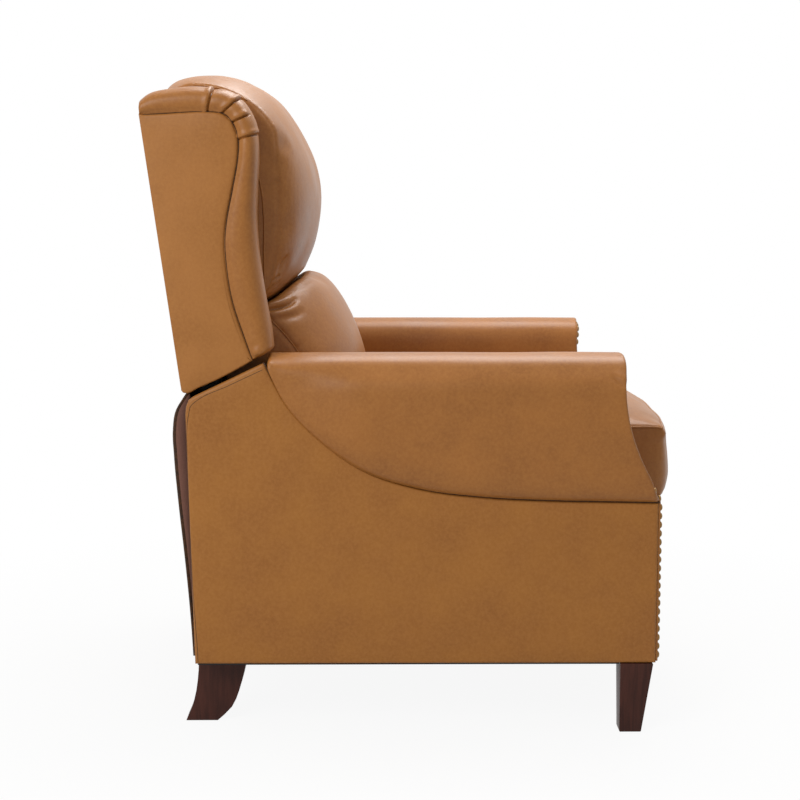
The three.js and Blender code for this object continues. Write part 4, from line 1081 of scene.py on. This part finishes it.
BASE_FRONT, ARM_REAR, ARM_TOP = -382, 240, 611
SIDE_FOOT, FRONT_FOOT, FRONT_OUTER = 114.6, 117.5, 371.5

# The seam between the arm and the side panel, as (y, z) from the rear.
ARM_SEAM = [(243, 601), (207, 535), (144, 471), (81, 428), (-3, 400), (-110, 386), (-216, 380.5),
            (-300, 378.5), (-384, 377)]

# Folds in the arm's top corner: points as (x, behind the front edge, z), then depth and reach.
ARM_FOLDS = [
    ([(394, -8, 566), (394, 1, 570), (392, 10, 577), (389, 20, 585)], 3.4, 5.5),
    ([(392, 4, 563), (391, 16, 566), (390, 30, 572)], 1.0, 5),
]


def arm_front(z):
    """The arm's swept front edge: plumb below its seam, drawn back above it."""
    rise = np.clip((np.asarray(z, float) - 378) / (574 - 378), 0, 1)
    return BASE_FRONT + 63 * (1 - (1 - rise) ** 2.1) - 2.6 * ramp(z, 566, 598)


def arm_section(seam_height, over, count=76):
    """The arm's section in (x, z), from the foot of its inner face over the top to its outer seam.
    `over` is how far the roll stands out past the side."""
    tall = ARM_TOP - seam_height
    crest = min(1.0, tall / 90)
    flat = 1 - crest
    return smooth([
        (265.8, 384), (265.8, 440), (266.2, 498), (267, 530), (267.5, 560), (271, 583), (282, 600),
        (302, 609), (326, 611.5), (345, 609), (362, 602.5 + 3 * flat),
        (376 - 6 * flat, ARM_TOP - 24 * crest - 3 * flat),
        (375 + over * 0.72, ARM_TOP - 42 * crest - 5 * flat),
        (375 + over * 0.97, ARM_TOP - min(72, tall * 0.6)),
        (375 + over, seam_height + tall * 0.3),
        (375 + over * 0.92, seam_height + tall * 0.14),
        (375 + over * 0.6, seam_height + min(9, tall * 0.06)),
        (375 + over * 0.1, seam_height + 0.6),
        (364, seam_height + 1.5),
    ], count)


def lip_front(x, z):
    """The front of the arm's leather round its front panel. It stands forward, most on the outer
    side, and not at its lower tip."""
    return arm_front(z) - ramp(z, 382, 412) * (2.4 + 3.6 * ramp(x, 290, 345))


def arm_piece(material):
    """The rolled arm, with a rounded lip at the front and two folds in its top corner."""
    seam = smooth(ARM_SEAM, 400)
    shares = np.linspace(0, 1, 90)
    sections = []
    for share in shares:
        y = BASE_FRONT + share * (ARM_REAR - BASE_FRONT)
        height = float(np.interp(y, seam[::-1, 0], seam[::-1, 1]))
        sections.append(arm_section(min(height, ARM_TOP - 15), 18 * float(ramp(ARM_REAR - y, 0, 170))))
    first = sections[0]
    start = lip_front(first[:, 0], first[:, 1])
    away = unit(first - first.mean(axis=0))
    rings = []
    # The front end: from behind the front panel, forward over the lip and round to the outside.
    for inset, back in ((14, 9), (10.5, 7.5), (8.5, 2.2), (6, 0.3), (3.6, 0.2), (1.5, 1.3), (0.4, 3.0)):
        ring = first - away * inset
        rings.append(chair_place(ring[:, 0], start + back, ring[:, 1]))
    for share, ring in zip(shares, sections):
        front = lip_front(ring[:, 0], ring[:, 1]) + 5.2
        rings.append(chair_place(ring[:, 0], front + share * (ARM_REAR - front), ring[:, 1]))
    p = np.array(rings)
    wave = drift(p, 120, 6.0)
    p[..., 0] += wave * 1.4 * ramp(p[..., 0], 340, 380)
    p[..., 2] += wave * ramp(p[..., 2], 560, 600)
    arm = new_piece("arm_leather_left", *skin(p), material)
    refine(arm)
    front = float(arm_front(570))
    for path, depth, reach in ARM_FOLDS:
        crease(arm, [(x, front + back, z) for x, back, z in path], depth, reach)
    return arm


def side_panel(material):
    """The flat leather below the arm."""
    arc = smooth(ARM_SEAM[::-1], 150)
    arc[:, 1] -= 0.8
    slope = even([(243, 600.5), (300, 573), (355, 547)], 40)[1:]
    sides = (even([(BASE_FRONT, SIDE_FOOT), (358, SIDE_FOOT)], 150),
             even([(358, SIDE_FOOT), (367, 519)], 70),
             even(np.vstack([arc, slope, [(362, 541), (366, 530), (367, 519)]]), 150),
             even([(BASE_FRONT, SIDE_FOOT), (BASE_FRONT, 376)], 70))
    board = padded_board(sides, depth=11.7, edge=5, crown=1.6, spread=14, lumps=0.9, seed=2.0,
                         place=lambda y, z, out: chair_place(363.3 + out, y, z))
    return new_piece("side_panel_leather_left", *board, material)


def beside(line, gap):
    """A flat line moved to its right-hand side."""
    ahead = unit(np.gradient(line, axis=0))
    return line + np.column_stack([ahead[:, 1], -ahead[:, 0]]) * gap


def front_outline():
    """The arm front panel's outline in (x, z), from its lower inner corner round over the top.
    It lies inside the arm's lip, and comes out to the corner below it."""
    ring = arm_section(378.0, 18.0, 150)[:-14]
    outside = ring[:, 0] > 326
    inset = 3.2 + np.where(outside, 5.6 * ramp(ring[:, 1], 392, 432), 2.6 * ramp(ring[:, 1], 505, 560))
    lower = [(FRONT_OUTER, z) for z in (378, 360, 250, FRONT_FOOT)]
    return np.vstack([[(270.5, FRONT_FOOT), (270.5, 300)], beside(ring, inset[:, None]), lower])


def arm_front_panel(material):
    """The thin padded panel on the arm's front."""
    outline = even(front_outline(), 260)
    top = np.argmax(outline[:, 1])
    inner, outer = outline[:top + 1], outline[top:]
    # The rounded top is the board's upper side; its two uprights end short of it.
    split_in, split_out = int(len(inner) * 0.86), int(len(outer) * 0.14)
    sides = (even([(270, FRONT_FOOT), (FRONT_OUTER, FRONT_FOOT)], 26), even(outer[split_out:][::-1], 110),
             even(np.vstack([inner[split_in - 1:], outer[1:split_out + 1]]), 26),
             even(inner[:split_in], 110))
    board = padded_board(sides, depth=3.4, edge=1.6, crown=0.8, spread=10, lumps=0.3, seed=3.0,
                         place=lambda x, z, out: chair_place(x, arm_front(z) + 0.2 - out, z))
    return new_piece("arm_front_leather_left", *board, material)


def nail_heads(material, radius, height, pitch):
    """Domed nail heads down the outer edge of the arm front panel."""
    line = beside(even(front_outline(), 600)[2:], 7.6)
    line = np.array([q for q in line if q[1] > 126])
    line = line[int(np.argmax(line[:, 1] > 566)):]
    around = 12
    points, faces = [], []
    for x, z in even(line, int(lengths(line)[-1] / pitch) + 1):
        y = float(arm_front(z)) - 3.6
        first = len(points) + 1
        points.append((x, y - height, z))
        for wide, out in ((0.45, 0.9), (0.78, 0.62), (0.97, 0.22), (1.0, 0.0), (0.9, -0.3)):
            for turn in np.arange(around) * 2 * math.pi / around:
                points.append((x + radius * wide * math.cos(turn), y - height * out,
                               z + radius * wide * math.sin(turn)))
        faces += [(first - 1, first + k, first + (k + 1) % around) for k in range(around)]
        for ring in range(4):
            faces += wall(first + ring * around, around)
    return new_piece("nail_heads_left", points, faces, material)


class RECLINER_OT_sides(ReclinerOperator, bpy.types.Operator):
    """Covers the arms, the side panels and the arm fronts, and sets the nails"""

    bl_idname = "recliner.sides"
    bl_label = "Arms and sides"

    def build(self, context):
        parts = context.scene.recliner_hardware
        nail = (parts.nail_radius / MM, parts.nail_height / MM, parts.nail_pitch / MM)
        made_left = (
            (arm_piece(made("body")), "arm_pad", "upholstery", 0.8),
            (side_panel(made("side")), "side_cover", "leather", 0.3),
            (arm_front_panel(made("body")), "arm_front_panel", "leather", 0.3),
            (nail_heads(made("brass"), *nail), "nail_trim", "nails", None),
        )
        # Painted shade: a dark cord along the seam between arm and side stands for the shade in its crevice.
        line = smooth(ARM_SEAM, 240)
        stitched = np.column_stack([np.full(len(line), 373.4), line])
        seam = new_piece("arm_seam_left", *tube(stitched, 0.9), made("thread"))
        for side in SIDES:
            dress(on_side(seam, side), "base", [], "upholstery")
        border = smooth([(353, 116), (361.5, 519), (358, 533), (350, 540), (298, 565), (240, 592)], 200)
        for piece, node, slot, fill in made_left:
            for side, sign in SIDES.items():
                this = on_side(piece, side)
                dress(this, "base", [f"{node}_{side}"], slot, fill)
                if node == "side_cover":
                    line = [(sign * 376, y, z) for y, z in border]
                    add_seam(this, f"side_border_seam_{side}", line, 0.6, made("thread"), lift=-0.35,
                             count=200)


# Back, flap, footrest and base cloth

# The flap from the side, as (y, z) from its foot to the outside back.
FLAP_LINE = [(364, 122), (366, 160), (369.5, 214), (376, 296), (384, 378), (389.5, 450), (390.5, 491),
             (385, 523), (375, 540), (369, 549)]
FLAP_HALF = 350

# The flap's side edge: how far out each of its points lies, and how far forward of the sheet. The
# first three are its burnished cut, and the last two close the side that is turned in.
FLAP_EDGE_OUT = (1.2, 1.9, 1.4, 0.4, -0.6, -2.6)
FLAP_EDGE_AHEAD = (-0.2, 1.2, 2.9, 5.0)
BURNISHED = 3


class RECLINER_OT_outside_back(ReclinerOperator, bpy.types.Operator):
    """Covers the outside back and hangs the flap under it"""

    bl_idname = "recliner.outside_back"
    bl_label = "Outside back"

    def build(self, context):
        board = padded_board(box_sides(-363, 363, 3, 444, 120, 76), depth=10, edge=3, crown=1.4, spread=14,
                             lumps=1.2, seed=8.0,
                             place=lambda x, up, out: back_place(x, 8 + 6.5 * up / 438 - out, up))
        panel = new_piece("outside_back_leather", *board, made("body"))
        border = even([(-363, 6), (-363, 441), (363, 441), (363, 6), (-363, 6)], 320)
        line = back_place(border[:, 0], np.full(len(border), -8.0), border[:, 1])
        add_seam(panel, "outside_back_welt", line, 1.8, made("body"), lift=0.5, count=400)
        dress(panel, "back", ["outside_back_cover"], "leather", 0.3)
        self.flap()

    def flap(self):
        """A leather sheet from the outside back's foot to the base's lower rear rail."""
        xs = np.linspace(-FLAP_HALF, FLAP_HALF, 91)
        low, high = FLAP_LINE[0][1], FLAP_LINE[-1][1]
        rings = []
        for y, z in smooth(FLAP_LINE, 60):
            loose = math.sin(math.pi * (z - low) / (high - low))
            sheet = [(x, y - 1 + 2.6 * loose * (noise.noise(Vector((x / 120, z / 300, 4.0)))
                                                + 0.25 * math.cos(x / 31)), z) for x in xs]
            ends = []
            for sign, edge in ((1, sheet[-1][1]), (-1, sheet[0][1])):
                inside = min(24.0, max(edge - 361.5, 6.0))
                ends.append([(sign * (FLAP_HALF + out), edge - ahead, z)
                             for out, ahead in zip(FLAP_EDGE_OUT, (*FLAP_EDGE_AHEAD, inside, inside))])
            lining = [(x * 0.99, wave - 2.4, z) for x, wave, z in sheet[::-1]]
            rings.append(sheet + ends[0] + lining + ends[1][::-1])
        flap = new_piece("lower_back_leather", *skin(rings), made("body"), made("lining"), made("thread"))
        count = len(rings[0])
        edge_first, edge_last = len(xs), count - 4
        for number in range(count * (len(rings) - 1)):
            k = number % count
            burnished = edge_first <= k < edge_first + BURNISHED or edge_last <= k < edge_last + BURNISHED
            flap.data.polygons[number].material_index = 2 if burnished else int(edge_first <= k < edge_last)
        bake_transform(flap)
        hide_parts("lower_back_flap")


class RECLINER_OT_footrest(ReclinerOperator, bpy.types.Operator):
    """Covers the footrest's pad"""

    bl_idname = "recliner.footrest"
    bl_label = "Footrest pad"

    def build(self, context):
        board = padded_board(box_sides(-254, 254, 129, 349, 84, 38), depth=30, edge=13, crown=9, spread=45,
                             lumps=1.6, seed=5.0, place=lambda x, z, out: chair_place(x, -352.3 - out, z))
        pad = new_piece("footrest_pad_leather", *board, made("side"))
        border = even([(-244, 139), (244, 139), (244, 339), (-244, 339), (-244, 139)], 320)
        line = chair_place(border[:, 0], np.full(len(border), -392.0), border[:, 1])
        pull_in(pad, [line[:105], line[105:160], line[160:265], line[265:]], 1.2, 5)
        welt = context.scene.recliner_leather.welt / MM
        add_seam(pad, "footrest_pad_welt", line, welt, made("side"), count=360)
        dress(pad, "footrest", ["footrest_pad"], "upholstery", 0.7)


class RECLINER_OT_underside(ReclinerOperator, bpy.types.Operator):
    """Hangs the dust cloth and bends the seat's springs"""

    bl_idname = "recliner.underside"
    bl_label = "Underside"

    def build(self, context):
        dress(cad_copy("dust_cover", "dust_cloth", made("cloth")), "base", ["dust_cover"], "dust_cloth")
        low, high = (np.array(c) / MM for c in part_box("seat_springs"))
        count, bends, margin, amplitude = 4, 12, 22, 20
        rear, depth = low[1] + 2, high[1] - low[1] - 4
        along = np.linspace(0, 1, bends * 14 + 1)
        zigzag = amplitude * np.tanh(2.2 * np.cos(along * bends * math.pi)) / math.tanh(2.2)
        height = np.full(len(along), (low[2] + high[2]) / 2)
        wires = []
        for number in range(count):
            x = low[0] + margin + number * ((high[0] - low[0] - 2 * margin) / (count - 1))
            wires.append(tube(chair_place(x + zigzag, rear + along * depth, height), 1.8, 6))
        for share in (1 / 3, 2 / 3):
            y, z = rear + share * depth, high[2] - 1.9
            wires.append(tube(even([(low[0] + 2, y, z), (high[0] - 2, y, z)], 8), 1.4, 6))
        points, faces = [], []
        for more, quads in wires:
            faces += [tuple(v + len(points) for v in face) for face in quads]
            points += more
        dress(new_piece("seat_spring_wires", points, faces, made("wire")), "seat", ["seat_springs"], "steel")


class RECLINER_OT_hard_parts(ReclinerOperator, bpy.types.Operator):
    """Finishes the legs, the timber and the steel"""

    bl_idname = "recliner.hard_parts"
    bl_label = "Legs, timber and steel"

    def build(self, context):
        parts = context.scene.recliner_hardware
        for node in [n for n in frame["nodes"] if n.startswith(("front_leg", "rear_leg"))]:
            leg = cad_copy(node, f"{node}_turned", made("leg"))
            weld = leg.modifiers.new("weld", "WELD")
            weld.merge_threshold = 1e-5
            ease = leg.modifiers.new("ease", "BEVEL")
            ease.width = parts.leg_chamfer
            ease.segments = 3
            ease.limit_method = "ANGLE"
            ease.angle_limit = math.radians(40)
            with_modifiers(leg)
            leg.data.shade_smooth()
            leg.data.set_sharp_from_angle(angle=math.radians(35))
            dress(leg, "base", [node], "leg_wood")
        kinds = {"frame_wood": "timber", "leg_wood": "leg", "steel": "steel", "nails": "brass",
                 "leather": "side", "upholstery": "body", "dust_cloth": "cloth"}
        for entry in frame["record"]["subparts"]:
            materials = frame["nodes"][entry["node"]].data.materials
            materials.clear()
            materials.append(made(kinds[entry["material_slot"]]))


# Studio, in metres: where each lamp stands, what it points at and how wide it is, and the camera.
FLOOR_REACH = 14
KEY_LAMP = ((0.6, -0.3, 2.4), (0, 0.0, 0.5), 1.5)
SIDE_LAMP = ((-2.5, 1.7, 2.1), (0, 0.1, 0.5), 1.6)
CAMERA_PLACE = (-2.9765, 0.052, 0.896)
CAMERA_PITCH, CAMERA_TURN = math.radians(7.75), math.radians(0.5)


class RECLINER_OT_stage(ReclinerOperator, bpy.types.Operator):
    """Sets the floor, the light and the camera"""

    bl_idname = "recliner.stage"
    bl_label = "Studio"

    def build(self, context):
        scene = context.scene
        stage = scene.recliner_stage
        scene.view_settings.view_transform = "Standard"
        reach = FLOOR_REACH / MM
        corners = [(x * reach, y * reach, -0.5) for x, y in ((-1, -1), (1, -1), (1, 1), (-1, 1))]
        floor = new_piece("floor", corners, [(0, 1, 2, 3)], paper_material(stage.paper), soft_edges=False)
        world = bpy.data.worlds.new("studio")
        world.use_nodes = True
        tree = world.node_tree
        tree.nodes.clear()
        pale = add_node(tree, "ShaderNodeBackground",
                        values={"Color": (1, 0.99, 0.975, 1), "Strength": stage.world})
        white = add_node(tree, "ShaderNodeBackground", values={"Color": (1, 1, 1, 1), "Strength": 1.0})
        mix, _ = white_to_camera(tree, (pale, 0), (white, 0))
        add_node(tree, "ShaderNodeOutputWorld", links={"Surface": (mix, 0)})
        scene.world = world
        self.lamp("key", *KEY_LAMP, stage.key)
        self.lamp("side", *SIDE_LAMP, stage.side)
        lens = bpy.data.cameras.new("camera")
        lens.lens = stage.lens
        lens.sensor_width = 36
        lens.clip_end = 100
        flat = math.cos(CAMERA_PITCH)
        ahead = (math.cos(CAMERA_TURN) * flat, -math.sin(CAMERA_TURN) * flat, -math.sin(CAMERA_PITCH))
        scene.camera = self.stand("camera", lens, CAMERA_PLACE, Vector(ahead))

    def lamp(self, name, place, aim, size, power):
        """A square soft box that points at the chair."""
        light = bpy.data.lights.new(name, "AREA")
        light.shape = "SQUARE"
        light.size = size
        light.energy = power
        self.stand(name, light, place, Vector(aim) - Vector(place))

    def stand(self, name, data, place, ahead):
        """Stands a lamp or a camera at its place and points it ahead."""
        thing = link(bpy.data.objects.new(name, data))
        thing.location = place
        thing.rotation_euler = ahead.to_track_quat("-Z", "Y").to_euler()
        return thing


class RECLINER_PT_panel(bpy.types.Panel):
    """Lists the chair's settings and pieces"""

    bl_idname = "RECLINER_PT_panel"
    bl_label = "Wingback recliner"
    bl_space_type = "VIEW_3D"
    bl_region_type = "UI"
    bl_category = "Recliner"

    def draw(self, context):
        for setting in SETTINGS:
            group = getattr(context.scene, setting)
            box = self.layout.box()
            for name in group.bl_rna.properties.keys():
                if name not in ("rna_type", "name"):
                    box.prop(group, name)
        for operator in OPERATORS:
            self.layout.operator(operator.bl_idname)


OPERATORS = (
    RECLINER_OT_wings,
    RECLINER_OT_pillows,
    RECLINER_OT_seat,
    RECLINER_OT_sides,
    RECLINER_OT_outside_back,
    RECLINER_OT_footrest,
    RECLINER_OT_underside,
    RECLINER_OT_hard_parts,
    RECLINER_OT_stage,
)
SETTINGS = {
    "recliner_leather": LeatherSettings,
    "recliner_hardware": HardwareSettings,
    "recliner_stage": StageSettings,
}
CLASSES = (*SETTINGS.values(), *OPERATORS, RECLINER_PT_panel)


def register():
    for kind in CLASSES:
        bpy.utils.register_class(kind)
    for name, kind in SETTINGS.items():
        setattr(bpy.types.Scene, name, bpy.props.PointerProperty(type=kind))


def unregister():
    for name in SETTINGS:
        delattr(bpy.types.Scene, name)
    for kind in reversed(CLASSES):
        bpy.utils.unregister_class(kind)


def main():
    register()
    bpy.ops.recliner.stage()
    bpy.ops.recliner.wings()
    bpy.ops.recliner.pillows()
    bpy.ops.recliner.seat()
    bpy.ops.recliner.sides()
    bpy.ops.recliner.outside_back()
    bpy.ops.recliner.footrest()
    bpy.ops.recliner.underside()
    bpy.ops.recliner.hard_parts()


if __name__ == "__main__":
    main()
